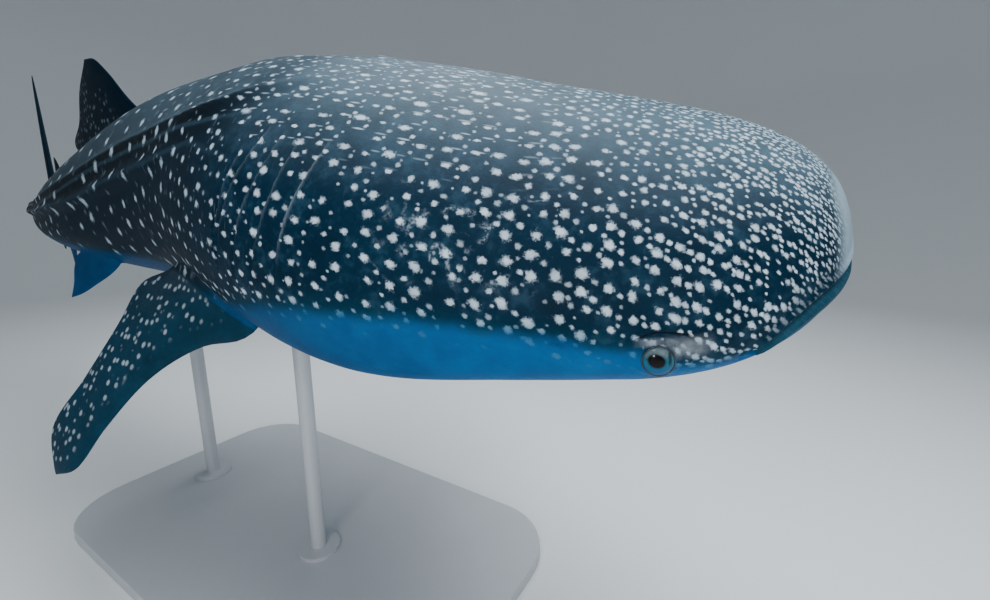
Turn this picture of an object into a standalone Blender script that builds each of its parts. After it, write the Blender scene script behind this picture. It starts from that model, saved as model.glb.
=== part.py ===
"""Whale shark, life size, swimming with a gentle bend, held by a plain display stand.

Metres, +Z up. The origin is the centre of the underside of the stand's base, and the
shark swims along +X. Lengths named in fractions are fractions of the shark's length.
"""

import math

import bmesh
import bpy
import numpy as np
from mathutils import Matrix, Vector

# Driving dimensions
LENGTH = 6.5
SNOUT = np.array((2.05, 0.13, 1.60))
GAP = 0.0003
CUT_CLEARANCE = 0.0004

# Where the body is parted, as fractions of the length from the snout
HEAD_END = 0.155
GILLS_END = 0.320
TRUNK_END = 0.595
STOCK_END = 0.870

# Body section: station, half width, height above and below its centre, centre above the spine
SECTIONS = np.array((
    (0.000, 0.0790, 0.0125, 0.0085, -0.0020),
    (0.004, 0.0790, 0.0190, 0.0130, -0.0020),
    (0.015, 0.0795, 0.0275, 0.0200, -0.0020),
    (0.035, 0.0802, 0.0365, 0.0266, -0.0020),
    (0.062, 0.0808, 0.0444, 0.0340, -0.0015),
    (0.110, 0.0857, 0.0556, 0.0461, 0.0000),
    (0.165, 0.0924, 0.0668, 0.0583, 0.0020),
    (0.230, 0.0856, 0.0763, 0.0631, 0.0030),
    (0.320, 0.0764, 0.0783, 0.0633, 0.0040),
    (0.420, 0.0650, 0.0766, 0.0576, 0.0060),
    (0.520, 0.0502, 0.0635, 0.0410, 0.0100),
    (0.620, 0.0340, 0.0472, 0.0268, 0.0160),
    (0.700, 0.0259, 0.0326, 0.0200, 0.0210),
    (0.760, 0.0221, 0.0225, 0.0152, 0.0260),
    (0.820, 0.0180, 0.0180, 0.0144, 0.0300),
    (0.850, 0.0090, 0.0165, 0.0135, 0.0310),
    (0.870, 0.0030, 0.0150, 0.0120, 0.0320),
))
SNOUT_CAP = 0.070
BACK_POWER = 1.95
BELLY_POWER = 2.2

# Pose: station, yaw toward +Y, nose down, roll of the right side down, in degrees
POSE = np.array((
    (0.00, 9.7, -0.9, 24.7),
    (0.10, 9.7, -0.9, 24.7),
    (0.165, 3.3, 1.7, 24.5),
    (0.25, -8.8, 4.9, 20.6),
    (0.35, -1.3, -2.0, 14.9),
    (0.45, 7.6, -8.8, 8.1),
    (0.55, 4.4, -7.5, 3.0),
    (0.65, -4.9, -2.5, 1.6),
    (0.75, -12.5, 1.6, 0.6),
    (0.85, -15.0, 2.9, 0.2),
    (1.05, -15.5, 3.1, 0.1),
))
SPINE_STEPS = 420
SPINE_END = 1.05

# Lengthwise ridges of each flank: start station, height, half angle, angle at each station
RIDGE_STATIONS = (0.150, 0.200, 0.250, 0.330, 0.400, 0.470, 0.540, 0.700)
RIDGES = (
    (0.170, 0.0016, 3.5, (78.0, 72.0, 56.0, 41.0, 34.0, 30.0, 28.0, 30.0)),
    (0.230, 0.0014, 3.5, (60.0, 55.0, 46.0, 33.5, 26.5, 22.5, 20.5, 21.0)),
    (0.300, 0.0036, 3.5, (30.0, 30.0, 30.0, 24.0, 18.0, 13.0, 12.0, 12.0)),
)
RIDGE_RISE = 0.120
RIDGE_FADE = (0.83, 0.04)
BACK_RIDGE_HEIGHT = 0.0012
BACK_RIDGE_START = 0.12

# Mouth: angle of its line round the head at a few stations, and its lips
MOUTH_LINE = np.array((
    (0.000, 6.0),
    (0.020, 6.6),
    (0.028, 0.0),
    (0.0355, -10.0),
    (0.050, -6.0),
    (0.080, 0.0),
    (0.160, 0.0),
))
MOUTH_CORNER = 0.0360
MOUTH_DEPTH = 0.020
MOUTH_HALF_OPEN = 1.6
LIP_ANGLE = 5.0
LIP_HEIGHT = 0.006

# Small features of the head
EYE_STATION = 0.0609
EYE_ANGLE = -1.9
EYE_RADIUS = 0.032
EYE_SUNK = 0.008
EYE_RIM = 0.0045
SPIRACLE_STATION = 0.0883
SPIRACLE_ANGLE = 2.7
SPIRACLE_RADIUS = 0.008
NOSTRIL_STATION = 0.012
NOSTRIL_ANGLE = 16.0
NOSTRIL_SIZE = (0.016, 0.008, 0.014)
BARBEL_RADIUS = 0.010
BARBEL_LENGTH = 0.026

# Gills: five slits a side, each under the free rear edge of a flap
GILL_STATIONS = (0.1658, 0.1764, 0.1852, 0.1935, 0.2018)
GILL_TOPS = (53.0, 53.0, 53.0, 54.0, 45.0)
GILL_BOTTOMS = (-4.0, -2.0, 2.0, 8.0, 14.0)
GILL_SLANTS = (0.0135, 0.0125, 0.0140, 0.0160, 0.0075)
GILL_FLAP = 0.0062
GILL_FLAP_LIFT = 0.011
GILL_FLAP_EDGE = 0.006
GILL_SLOT_DEPTH = 0.028
GILL_SLOT_WIDTH = 0.008
GILL_STEPS = 7

# Fins. Outline points run outward from the root, as fractions of the length.
# Fins of the middle plane: station and height over the spine.
FIRST_DORSAL_FRONT = ((0.440, 0.062), (0.450, 0.080), (0.463, 0.096), (0.480, 0.1205), (0.494, 0.1335))
FIRST_DORSAL_REAR = ((0.556, 0.052), (0.578, 0.070), (0.590, 0.083), (0.565, 0.099), (0.545, 0.120))
FIRST_DORSAL_TIP = (0.511, 0.1380)
SECOND_DORSAL_FRONT = ((0.655, 0.045), (0.668, 0.064), (0.681, 0.078))
SECOND_DORSAL_REAR = ((0.694, 0.038), (0.708, 0.059), (0.697, 0.069))
SECOND_DORSAL_TIP = (0.691, 0.083)
ANAL_FRONT = ((0.668, 0.002), (0.682, -0.016), (0.694, -0.030))
ANAL_REAR = ((0.706, 0.008), (0.719, -0.008), (0.709, -0.021))
ANAL_TIP = (0.704, -0.036)
UPPER_LOBE_FRONT = ((0.795, 0.036), (0.822, 0.052), (0.862, 0.100), (0.898, 0.150), (0.922, 0.184))
UPPER_LOBE_REAR = ((0.884, 0.0315), (0.888, 0.060), (0.906, 0.095), (0.930, 0.140), (0.948, 0.178))
UPPER_LOBE_TIP = (0.940, 0.198)
LOWER_LOBE_FRONT = ((0.795, 0.024), (0.818, 0.008), (0.838, -0.012), (0.852, -0.025))
LOWER_LOBE_REAR = ((0.884, 0.0315), (0.880, 0.012), (0.872, -0.008), (0.868, -0.022))
LOWER_LOBE_TIP = (0.861, -0.032)
LOBE_PARTING = 0.0318

# Paired fins: aft along the root and outward in the fin's own plane
PECTORAL_ROOT = ((0.232, -33.0), (0.308, -22.0))
PECTORAL_DROOP = 39.6
PECTORAL_FRONT = ((0.000, -0.030), (0.007, 0.010), (0.034, 0.029), (0.060, 0.062), (0.073, 0.100), (0.080, 0.130))
PECTORAL_REAR = ((0.074, -0.030), (0.099, 0.006), (0.117, 0.023), (0.115, 0.050), (0.1165, 0.090), (0.1205, 0.127))
PECTORAL_TIP = (0.097, 0.1435)
PELVIC_ROOT = ((0.478, -48.0), (0.522, -40.0))
PELVIC_DROOP = 62.0
PELVIC_FRONT = ((0.000, -0.014), (0.008, 0.008), (0.024, 0.024), (0.036, 0.034))
PELVIC_REAR = ((0.042, -0.014), (0.060, 0.006), (0.058, 0.014), (0.050, 0.028))
PELVIC_TIP = (0.046, 0.039)

# Half thickness of each fin at its root, in metres
FIRST_DORSAL_THICK = 0.034
SECOND_DORSAL_THICK = 0.016
ANAL_THICK = 0.014
LOBE_THICK = 0.026
PECTORAL_THICK = 0.040
PELVIC_THICK = 0.016
EDGE_THICK = 0.0016
FIN_BEND = 0.05

# Stand
BASE_SIZE = (2.30, 1.30, 0.050)
BASE_CORNER = 0.30
BASE_EDGE = 0.006
ROD_STATIONS = {"stand_rod_front": 0.275, "stand_rod_rear": 0.455}
ROD_RADIUS = 0.034
FLANGE_RADIUS = 0.095
FLANGE_HEIGHT = 0.018
SADDLE_RADIUS = 0.080
SADDLE_NECK = 0.070
SADDLE_BELOW = 0.035
SADDLE_ABOVE = 0.120

# Colours
SKIN = (0.055, 0.075, 0.095)
FIN_SKIN = (0.045, 0.062, 0.080)
EYE_DARK = (0.020, 0.022, 0.025)
STAND_METAL = (0.62, 0.64, 0.66)


def clear_scene():
    for item in list(bpy.data.objects):
        bpy.data.objects.remove(item, do_unlink=True)


def material(name, colour, roughness, metallic=0.0):
    made = bpy.data.materials.new(name)
    made.use_nodes = True
    shader = made.node_tree.nodes["Principled BSDF"]
    shader.inputs["Base Color"].default_value = (*colour, 1.0)
    shader.inputs["Roughness"].default_value = roughness
    shader.inputs["Metallic"].default_value = metallic
    return made


def smooth_table(places, values, wanted):
    """Cubic curve through the values at the given places."""
    slopes = np.gradient(values, places)
    wanted = np.asarray(wanted, dtype=float)
    low = np.clip(np.searchsorted(places, wanted, side="right") - 1, 0, len(places) - 2)
    width = places[low + 1] - places[low]
    t = (wanted - places[low]) / width
    start = (2 * t**3 - 3 * t**2 + 1) * values[low] + (t**3 - 2 * t**2 + t) * width * slopes[low]
    end = (3 * t**2 - 2 * t**3) * values[low + 1] + (t**3 - t**2) * width * slopes[low + 1]
    return start + end


def smooth_points(points, count):
    """Evenly spaced points on a smooth curve through a few given points."""
    given = np.array(points, dtype=float)
    run = np.concatenate(((0.0,), np.cumsum(np.linalg.norm(np.diff(given, axis=0), axis=1))))
    wanted = np.linspace(0.0, run[-1], count)
    return np.stack([smooth_table(run, given[:, i], wanted) for i in range(given.shape[1])], axis=1)


def ease(value, start, width):
    """Smooth step from 0 at the start to 1 after the width."""
    t = np.clip((value - start) / width, 0.0, 1.0)
    return t * t * (3 - 2 * t)


def spine_frames():
    """Places and axes (forward, left, up) along the body, in fractions of the length."""
    stations = np.linspace(0.0, SPINE_END, SPINE_STEPS + 1)
    yaw, dip, roll = (np.radians(smooth_table(POSE[:, 0], POSE[:, i], stations)) for i in (1, 2, 3))
    forward = np.stack((np.cos(yaw) * np.cos(dip), np.sin(yaw) * np.cos(dip), -np.sin(dip)), axis=1)
    step = stations[1] - stations[0]
    place = np.zeros_like(forward)
    place[1:] = -np.cumsum((forward[1:] + forward[:-1]) / 2 * step, axis=0)
    left = np.cross((0.0, 0.0, 1.0), forward)
    left /= np.linalg.norm(left, axis=1)[:, None]
    up = np.cross(forward, left)
    cosine = np.cos(roll)[:, None]
    sine = np.sin(roll)[:, None]
    return stations, place, forward, left * cosine + up * sine, up * cosine - left * sine


STATIONS, SPINE, FORWARD, LEFT, UP = spine_frames()


def along_spine(table, station):
    station = np.asarray(station, dtype=float)
    return np.stack([np.interp(station, STATIONS, table[:, i]) for i in range(3)], axis=-1)


def in_world(station, leftward, upward):
    """World point beside the spine; the offsets are fractions of the length."""
    beside = along_spine(LEFT, station) * np.asarray(leftward)[..., None]
    above = along_spine(UP, station) * np.asarray(upward)[..., None]
    return SNOUT + LENGTH * (along_spine(SPINE, station) + beside + above)


def section_value(column, station):
    root = np.sqrt(np.maximum(station, 0.0))
    return smooth_table(np.sqrt(SECTIONS[:, 0]), SECTIONS[:, column], root)


def ridge_angle(ridge, station):
    return np.interp(station, RIDGE_STATIONS, RIDGES[ridge][3])


def skin_offset(station, angle, grow=0.0):
    """Leftward and upward offsets of the skin; angle 0 is the right side and 90 the back."""
    width, above, below, centre = (section_value(i, station) for i in (1, 2, 3, 4))
    cap = np.clip(1 - station / SNOUT_CAP, 0.0, 1.0)
    width = width * np.sqrt(1 - cap * cap) + grow / LENGTH
    cosine = np.cos(np.radians(angle))
    sine = np.sin(np.radians(angle))
    height = np.where(sine >= 0, above, below) + grow / LENGTH
    power = np.where(sine >= 0, BACK_POWER, BELLY_POWER)
    across = -width * np.sign(cosine) * np.abs(cosine) ** (2 / power)
    upward = height * np.sign(sine) * np.abs(sine) ** (2 / power)
    side = np.where(cosine >= 0, angle, 180.0 - angle)
    raised = np.zeros_like(across)
    for number, (start, tall, half, _) in enumerate(RIDGES):
        bump = np.exp(-((side - ridge_angle(number, station)) / half) ** 2)
        raised = raised + tall * bump * ease(station, start, RIDGE_RISE) * (1 - ease(station, *RIDGE_FADE))
    back = np.exp(-((side - 90.0) / 5.0) ** 2)
    raised = raised + BACK_RIDGE_HEIGHT * back * ease(station, BACK_RIDGE_START, RIDGE_RISE)
    size = np.sqrt(across**2 + upward**2) + 1e-9
    return across * (1 + raised / size), centre + upward * (1 + raised / size)


def skin_point(station, angle, side="right"):
    """World point on the skin, its outward normal and its forward direction."""
    turned = angle if side == "right" else 180.0 - angle
    step = 0.0005
    place = lambda s, a: in_world(s, *skin_offset(np.array(s), np.array(a)))
    here = place(station, turned)
    along = place(station + step, turned) - place(station - step, turned)
    around = place(station, turned + 0.2) - place(station, turned - 0.2)
    normal = np.cross(around, along)
    normal /= np.linalg.norm(normal)
    forward = -along / np.linalg.norm(along)
    return Vector(here), Vector(normal), Vector(forward)


def mirrored_columns(right_side):
    """Full ring of angles from the right side's angles, bottom to top."""
    left_side = [180.0 - angle for angle in reversed(right_side[1:-1])]
    return list(right_side) + left_side


def head_columns(station):
    line = float(smooth_table(MOUTH_LINE[:, 0], MOUTH_LINE[:, 1], station))
    near = [line + turn for turn in (-LIP_ANGLE, -MOUTH_HALF_OPEN, 0.0, MOUTH_HALF_OPEN, LIP_ANGLE)]
    below = [-90.0, -76.0, -62.0, -49.0, -37.0, -26.0, -17.0]
    above = [16.0, 25.0, 35.0, 46.0, 57.0, 68.0, 79.0, 90.0]
    return mirrored_columns(below + near + above)


def ridged_columns(station):
    angles = [-90.0, -76.0, -62.0, -48.0, -34.0, -20.0, -9.0, 0.0]
    for number, ridge in enumerate(reversed(RIDGES)):
        crest = float(ridge_angle(len(RIDGES) - 1 - number, station))
        half = ridge[2]
        if number:
            angles.append((angles[-1] + crest - half) / 2)
        angles.extend((crest - half, crest, crest + half))
    angles.extend(((angles[-1] + 84.0) / 2, 84.0, 90.0))
    return mirrored_columns(angles)


def new_object(name, mesh, made=None):
    item = bpy.data.objects.new(name, mesh)
    bpy.context.scene.collection.objects.link(item)
    if made is not None:
        mesh.materials.clear()
        mesh.materials.append(made)
    return item


def object_from_bmesh(name, shape, made=None):
    mesh = bpy.data.meshes.new(name)
    shape.to_mesh(mesh)
    shape.free()
    return new_object(name, mesh, made)


def finish_shading(item, angle=35.0):
    item.data.shade_smooth()
    item.data.set_sharp_from_angle(angle=math.radians(angle))


def body_length(name, stations, columns, made=None, grow=0.0, lift=None):
    """Closed length of the body: a ring at each station, joined and capped."""
    shape = bmesh.new()
    layer = shape.verts.layers.float.new("lift")
    rings = []
    for station in stations:
        angles = np.array(columns(station))
        points = in_world(np.full(len(angles), station), *skin_offset(np.full(len(angles), station), angles, grow))
        ring = [shape.verts.new(point) for point in points]
        if lift is not None:
            for number, vert in enumerate(ring):
                vert[layer] = lift(station, number, len(ring))
        rings.append(ring)
    count = len(rings[0])
    for front, rear in zip(rings[:-1], rings[1:]):
        for i in range(count):
            after = (i + 1) % count
            shape.faces.new((front[i], front[after], rear[after]))
            shape.faces.new((front[i], rear[after], rear[i]))
    if stations[0] > 0:
        shape.faces.new(rings[0])
    shape.faces.new(rings[-1])
    bmesh.ops.remove_doubles(shape, verts=shape.verts, dist=0.00005)
    flat = [face for face in shape.faces if face.calc_area() < 1e-10]
    bmesh.ops.delete(shape, geom=flat, context="FACES")
    bmesh.ops.recalc_face_normals(shape, faces=shape.faces)
    shape.normal_update()
    moves = [(vert, vert.normal * vert[layer]) for vert in shape.verts if abs(vert[layer]) > 0]
    for vert, move in moves:
        vert.co += move
    return object_from_bmesh(name, shape, made)


def mouth_lift(station, number, count):
    """How far the skin stands out at the mouth line, its edges and its lips."""
    half = count // 2
    place = number if number <= half else count - number
    fade = 1 - float(ease(station, MOUTH_CORNER - 0.006, 0.006))
    middle = 9
    heights = {middle: -MOUTH_DEPTH, middle - 2: LIP_HEIGHT, middle - 1: 0.5 * LIP_HEIGHT, middle + 1: 0.3 * LIP_HEIGHT}
    return heights.get(place, 0.0) * fade


def apply_boolean(target, operand, operation, solver="EXACT"):
    """Cut or join with one object, or join a collection of objects, and use the result."""
    change = target.modifiers.new("Change", "BOOLEAN")
    change.operation = operation
    change.solver = solver
    if isinstance(operand, bpy.types.Collection):
        change.operand_type = "COLLECTION"
        change.collection = operand
    else:
        change.object = operand
    result = bpy.data.meshes.new_from_object(target.evaluated_get(bpy.context.evaluated_depsgraph_get()))
    target.modifiers.clear()
    target.data = result
    pieces = list(operand.objects) if isinstance(operand, bpy.types.Collection) else [operand]
    for piece in pieces:
        bpy.data.objects.remove(piece, do_unlink=True)
    if isinstance(operand, bpy.types.Collection):
        bpy.data.collections.remove(operand)
    keep_largest(target)


def keep_largest(target):
    """Keep the largest connected surface of an object."""
    shape = bmesh.new()
    shape.from_mesh(target.data)
    waiting = set(shape.verts)
    groups = []
    while waiting:
        group = set()
        edge = [waiting.pop()]
        while edge:
            vert = edge.pop()
            group.add(vert)
            for link in vert.link_edges:
                other = link.other_vert(vert)
                if other in waiting:
                    waiting.discard(other)
                    edge.append(other)
        groups.append(group)
    groups.sort(key=extent, reverse=True)
    scraps = [vert for group in groups[1:] for vert in group]
    bmesh.ops.delete(shape, geom=scraps, context="VERTS")
    shape.to_mesh(target.data)
    shape.free()


def extent(group):
    points = np.array([tuple(vert.co) for vert in group])
    return float(np.prod(np.ptp(points, axis=0) + 1e-6))


def join_pieces(target, pieces, solver="EXACT"):
    """One union of an object with a collection of closed pieces."""
    group = bpy.data.collections.new("Pieces")
    bpy.context.scene.collection.children.link(group)
    for piece in pieces:
        bpy.context.scene.collection.objects.unlink(piece)
        group.objects.link(piece)
    apply_boolean(target, group, "UNION", solver)


def ball(name, radius, place, normal, sizes=(1.0, 1.0, 1.0), segments=14, rings=9, made=None):
    """Sphere or ellipsoid whose Z axis lies along the normal."""
    shape = bmesh.new()
    turn = Vector((0, 0, 1)).rotation_difference(normal).to_matrix().to_4x4()
    where = Matrix.Translation(place) @ turn @ Matrix.Diagonal((*sizes, 1.0))
    bmesh.ops.create_uvsphere(shape, u_segments=segments, v_segments=rings, radius=radius, matrix=where)
    return object_from_bmesh(name, shape, made)


def ring(name, major, minor, place, normal, segments=24, sides=6):
    """Torus round the normal, spun from a small circle."""
    shape = bmesh.new()
    turn = Vector((0, 0, 1)).rotation_difference(normal).to_matrix().to_4x4()
    start = Matrix.Translation((major, 0, 0)) @ Matrix.Rotation(math.radians(90), 4, "X")
    circle = bmesh.ops.create_circle(shape, segments=sides, radius=minor, matrix=start)
    edges = list({edge for vert in circle["verts"] for edge in vert.link_edges})
    bmesh.ops.spin(
        shape,
        geom=circle["verts"] + edges,
        axis=(0, 0, 1),
        cent=(0, 0, 0),
        steps=segments,
        angle=math.tau,
        use_merge=True,
    )
    bmesh.ops.remove_doubles(shape, verts=shape.verts, dist=0.00005)
    bmesh.ops.recalc_face_normals(shape, faces=shape.faces)
    bmesh.ops.transform(shape, matrix=Matrix.Translation(place) @ turn, verts=shape.verts)
    return object_from_bmesh(name, shape)


def cone(name, radius, tip, length, place, normal, segments=8):
    shape = bmesh.new()
    turn = Vector((0, 0, 1)).rotation_difference(normal).to_matrix().to_4x4()
    where = Matrix.Translation(place) @ turn
    bmesh.ops.create_cone(
        shape,
        cap_ends=True,
        segments=segments,
        radius1=radius,
        radius2=tip,
        depth=length,
        matrix=where,
    )
    return object_from_bmesh(name, shape)


def eye_place(side):
    skin, normal, forward = skin_point(EYE_STATION, EYE_ANGLE, side)
    return skin - normal * EYE_SUNK, normal, forward


def head(made):
    """Head with its mouth, lips, nostrils, eye rims, eye sockets and spiracles."""
    stations = [0.0, 0.0004, 0.0015, 0.0035, 0.006, 0.010, 0.015, 0.020, 0.025, 0.030, 0.0333]
    stations += [MOUTH_CORNER, 0.042, 0.050, 0.061, 0.074, 0.090, 0.110, 0.132, HEAD_END - GAP / 2 / LENGTH]
    body = body_length("head", stations, head_columns, made, lift=mouth_lift)
    added = []
    for side in ("right", "left"):
        centre, normal, _ = eye_place(side)
        added.append(ring("rim", EYE_RADIUS + 0.6 * EYE_RIM, EYE_RIM, centre + normal * EYE_SUNK, normal))
        nose, outward, _ = skin_point(NOSTRIL_STATION, NOSTRIL_ANGLE, side)
        lean = (outward + Vector((0, 0, -0.8))).normalized()
        added.append(cone("barbel", BARBEL_RADIUS, 0.003, BARBEL_LENGTH, nose + lean * 0.006, lean))
    join_pieces(body, added, "MANIFOLD")
    for side in ("right", "left"):
        centre, normal, _ = eye_place(side)
        apply_boolean(body, ball("socket", EYE_RADIUS + GAP, centre, normal), "DIFFERENCE", "MANIFOLD")
        breath, outward, _ = skin_point(SPIRACLE_STATION, SPIRACLE_ANGLE, side)
        hole = ball("spiracle", SPIRACLE_RADIUS, breath, outward, (1.0, 0.7, 1.6), 10, 6)
        apply_boolean(body, hole, "DIFFERENCE", "MANIFOLD")
        nose, outward, _ = skin_point(NOSTRIL_STATION + 0.004, NOSTRIL_ANGLE + 1.0, side)
        hole = ball("nostril", 1.0, nose, outward, NOSTRIL_SIZE, 10, 6)
        apply_boolean(body, hole, "DIFFERENCE", "MANIFOLD")
    finish_shading(body, 50)
    return body


def eyes(made):
    for side in ("left", "right"):
        centre, normal, _ = eye_place(side)
        finish_shading(ball("eye_" + side, EYE_RADIUS, centre, normal, made=made))


def gill_line(number, side, ahead=0.0, above=0.0):
    """World points down one gill slit, a little ahead of it and over or under the skin."""
    top, bottom = GILL_TOPS[number], GILL_BOTTOMS[number]
    points = []
    for step in range(GILL_STEPS):
        share = step / (GILL_STEPS - 1)
        angle = top + (bottom - top) * share
        station = GILL_STATIONS[number] + GILL_SLANTS[number] * share - ahead
        skin, normal, _ = skin_point(station, angle, side)
        points.append(skin + normal * above)
    return points


def strip_solid(name, corners):
    """Closed strip whose cross-section corners each run along a line of points."""
    shape = bmesh.new()
    rows = [[shape.verts.new(point) for point in line] for line in corners]
    sides = len(rows)
    for i in range(sides):
        this = rows[i]
        after = rows[(i + 1) % sides]
        for step in range(len(this) - 1):
            shape.faces.new((this[step], this[step + 1], after[step + 1]))
            shape.faces.new((this[step], after[step + 1], after[step]))
    shape.faces.new([row[0] for row in rows])
    shape.faces.new([row[-1] for row in rows])
    bmesh.ops.recalc_face_normals(shape, faces=shape.faces)
    return object_from_bmesh(name, shape)


def gill_slot(number, side):
    """Cutter of one slit, leaning forward under its flap."""
    width = GILL_SLOT_WIDTH / LENGTH
    lean = 0.5 * GILL_SLOT_DEPTH / LENGTH
    corners = (
        gill_line(number, side, -width, 0.004),
        gill_line(number, side, 0.0, 0.004),
        gill_line(number, side, lean, -GILL_SLOT_DEPTH),
        gill_line(number, side, lean - width, -GILL_SLOT_DEPTH),
    )
    return strip_solid("slot", corners)


def gill_flap(number, side):
    """Flap that rises to a free rear edge over its slit."""
    reach = 0.6 * GILL_SLOT_WIDTH / LENGTH
    corners = (
        gill_line(number, side, GILL_FLAP, -0.012),
        gill_line(number, side, GILL_FLAP, -0.001),
        gill_line(number, side, 0.3 * GILL_FLAP, 0.7 * GILL_FLAP_LIFT),
        gill_line(number, side, -reach, GILL_FLAP_LIFT),
        gill_line(number, side, -reach, GILL_FLAP_LIFT - GILL_FLAP_EDGE),
        gill_line(number, side, 0.2 * GILL_FLAP, 0.0),
        gill_line(number, side, 0.2 * GILL_FLAP, -0.012),
    )
    return strip_solid("flap", corners)


GILL_REGION_STATIONS = np.linspace(HEAD_END + GAP / 2 / LENGTH, GILLS_END - GAP / 2 / LENGTH, 12)
TRUNK_STATIONS = np.linspace(GILLS_END + GAP / 2 / LENGTH, TRUNK_END - GAP / 2 / LENGTH, 13)
STOCK_BREAKS = (0.60, 0.63, 0.66, 0.69, 0.72, 0.75, 0.78, 0.80, 0.82, 0.835, 0.85, 0.86)
STOCK_STATIONS = np.array((TRUNK_END + GAP / 2 / LENGTH, *STOCK_BREAKS[1:], STOCK_END))
TRIM_STATIONS = np.concatenate((GILL_REGION_STATIONS, TRUNK_STATIONS, STOCK_STATIONS))


def gill_region(made):
    """Gills and shoulders, which carry the pectoral fins."""
    body = body_length("gill_region", GILL_REGION_STATIONS, ridged_columns, made)
    for side in ("right", "left"):
        for number in range(len(GILL_STATIONS)):
            apply_boolean(body, gill_slot(number, side), "DIFFERENCE", "MANIFOLD")
    flaps = [gill_flap(number, side) for side in ("right", "left") for number in range(len(GILL_STATIONS))]
    join_pieces(body, flaps, "MANIFOLD")
    finish_shading(body, 50)
    return body


def chord_share():
    return np.array((0.0, 0.04, 0.15, 0.32, 0.55, 0.80, 1.0))


def fin_solid(name, front, rear, tip, thick, place, made, rows=11):
    """Fin between a front and a rear edge that meet at its tip.

    place turns two outline numbers and a sideways distance in metres into a world point.
    """
    leading = smooth_points((*front, tip), 60)
    trailing = smooth_points((*rear, tip), 60)
    shares = np.sin(np.linspace(0.0, math.pi / 2, rows))
    shape = bmesh.new()
    upper = []
    lower = []
    for share in shares:
        row = share * 59
        start = np.array([np.interp(row, np.arange(60), leading[:, i]) for i in (0, 1)])
        end = np.array([np.interp(row, np.arange(60), trailing[:, i]) for i in (0, 1)])
        taper = thick * (1 - 0.72 * share) * math.sqrt(max(1 - share**6, 0.0))
        high = []
        low = []
        for c in chord_share():
            outline = start + (end - start) * c
            profile = 2.598 * math.sqrt(c) * (1 - c)
            half = taper * profile + EDGE_THICK * min(c * 8, 1.0) * (1 if share < 1 else 0)
            high.append(shape.verts.new(place(outline, half, share)))
            low.append(shape.verts.new(place(outline, -half, share)))
        upper.append(high)
        lower.append(low)
    last = len(chord_share()) - 1
    for i in range(rows - 1):
        for j in range(last):
            for face, flip in ((upper, False), (lower, True)):
                first = (face[i][j], face[i + 1][j], face[i + 1][j + 1])
                second = (face[i][j], face[i + 1][j + 1], face[i][j + 1])
                shape.faces.new(reversed(first) if flip else first)
                shape.faces.new(reversed(second) if flip else second)
        a, b, c, d = upper[i][last], upper[i + 1][last], lower[i + 1][last], lower[i][last]
        shape.faces.new((a, b, c))
        shape.faces.new((a, c, d))
    shape.faces.new([*upper[0], *reversed(lower[0][1:])])
    bmesh.ops.remove_doubles(shape, verts=shape.verts, dist=0.00005)
    bmesh.ops.dissolve_degenerate(shape, edges=shape.edges, dist=0.00001)
    bmesh.ops.recalc_face_normals(shape, faces=shape.faces)
    return object_from_bmesh(name, shape, made)


def middle_plane(outline, sideways, _share):
    return in_world(np.array(outline[0]), np.array(sideways / LENGTH), np.array(outline[1]))


def paired_plane(root, droop, side, bend):
    """Place function of a paired fin, from its root line and its droop below level."""
    start, _, _ = skin_point(*root[0], side)
    end, _, _ = skin_point(*root[1], side)
    aft = (end - start).normalized()
    middle = (root[0][0] + root[1][0]) / 2
    up = Vector(along_spine(UP, middle))
    hand = -1.0 if side == "right" else 1.0
    out = Vector(along_spine(LEFT, middle)) * hand
    turn = math.radians(droop)
    outward = out * math.cos(turn) - up * math.sin(turn)
    outward = (outward - aft * outward.dot(aft)).normalized()
    above = aft.cross(outward) * hand
    if above.dot(up) < 0:
        above = -above

    def place(outline, sideways, share):
        lifted = sideways - bend * LENGTH * share * share * abs(outline[1])
        return start + LENGTH * (aft * float(outline[0]) + outward * float(outline[1])) + above * lifted

    return place


def cut_root(fin):
    """Trim a fin or a rod to meet the skin face to face."""
    stations = np.append(TRIM_STATIONS[:-1], STOCK_END + CUT_CLEARANCE / LENGTH)
    copy = body_length("trim", stations, ridged_columns, grow=CUT_CLEARANCE)
    apply_boolean(fin, copy, "DIFFERENCE", "MANIFOLD")
    finish_shading(fin, 40)


def middle_fins(made):
    fins = (
        ("first_dorsal_fin", FIRST_DORSAL_FRONT, FIRST_DORSAL_REAR, FIRST_DORSAL_TIP, FIRST_DORSAL_THICK),
        ("second_dorsal_fin", SECOND_DORSAL_FRONT, SECOND_DORSAL_REAR, SECOND_DORSAL_TIP, SECOND_DORSAL_THICK),
        ("anal_fin", ANAL_FRONT, ANAL_REAR, ANAL_TIP, ANAL_THICK),
    )
    for name, front, rear, tip, thick in fins:
        cut_root(fin_solid(name, front, rear, tip, thick, middle_plane, made))


def tail_lobes(made):
    lobes = (
        ("caudal_upper_lobe", UPPER_LOBE_FRONT, UPPER_LOBE_REAR, UPPER_LOBE_TIP, 1.0),
        ("caudal_lower_lobe", LOWER_LOBE_FRONT, LOWER_LOBE_REAR, LOWER_LOBE_TIP, -1.0),
    )
    for name, front, rear, tip, way in lobes:

        def place(outline, sideways, share, way=way):
            clear = (outline[1] - LOBE_PARTING) * way
            height = LOBE_PARTING + way * max(clear, GAP / 2 / LENGTH)
            return middle_plane((outline[0], height), sideways, share)

        cut_root(fin_solid(name, front, rear, tip, LOBE_THICK, place, made, 12))


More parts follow.
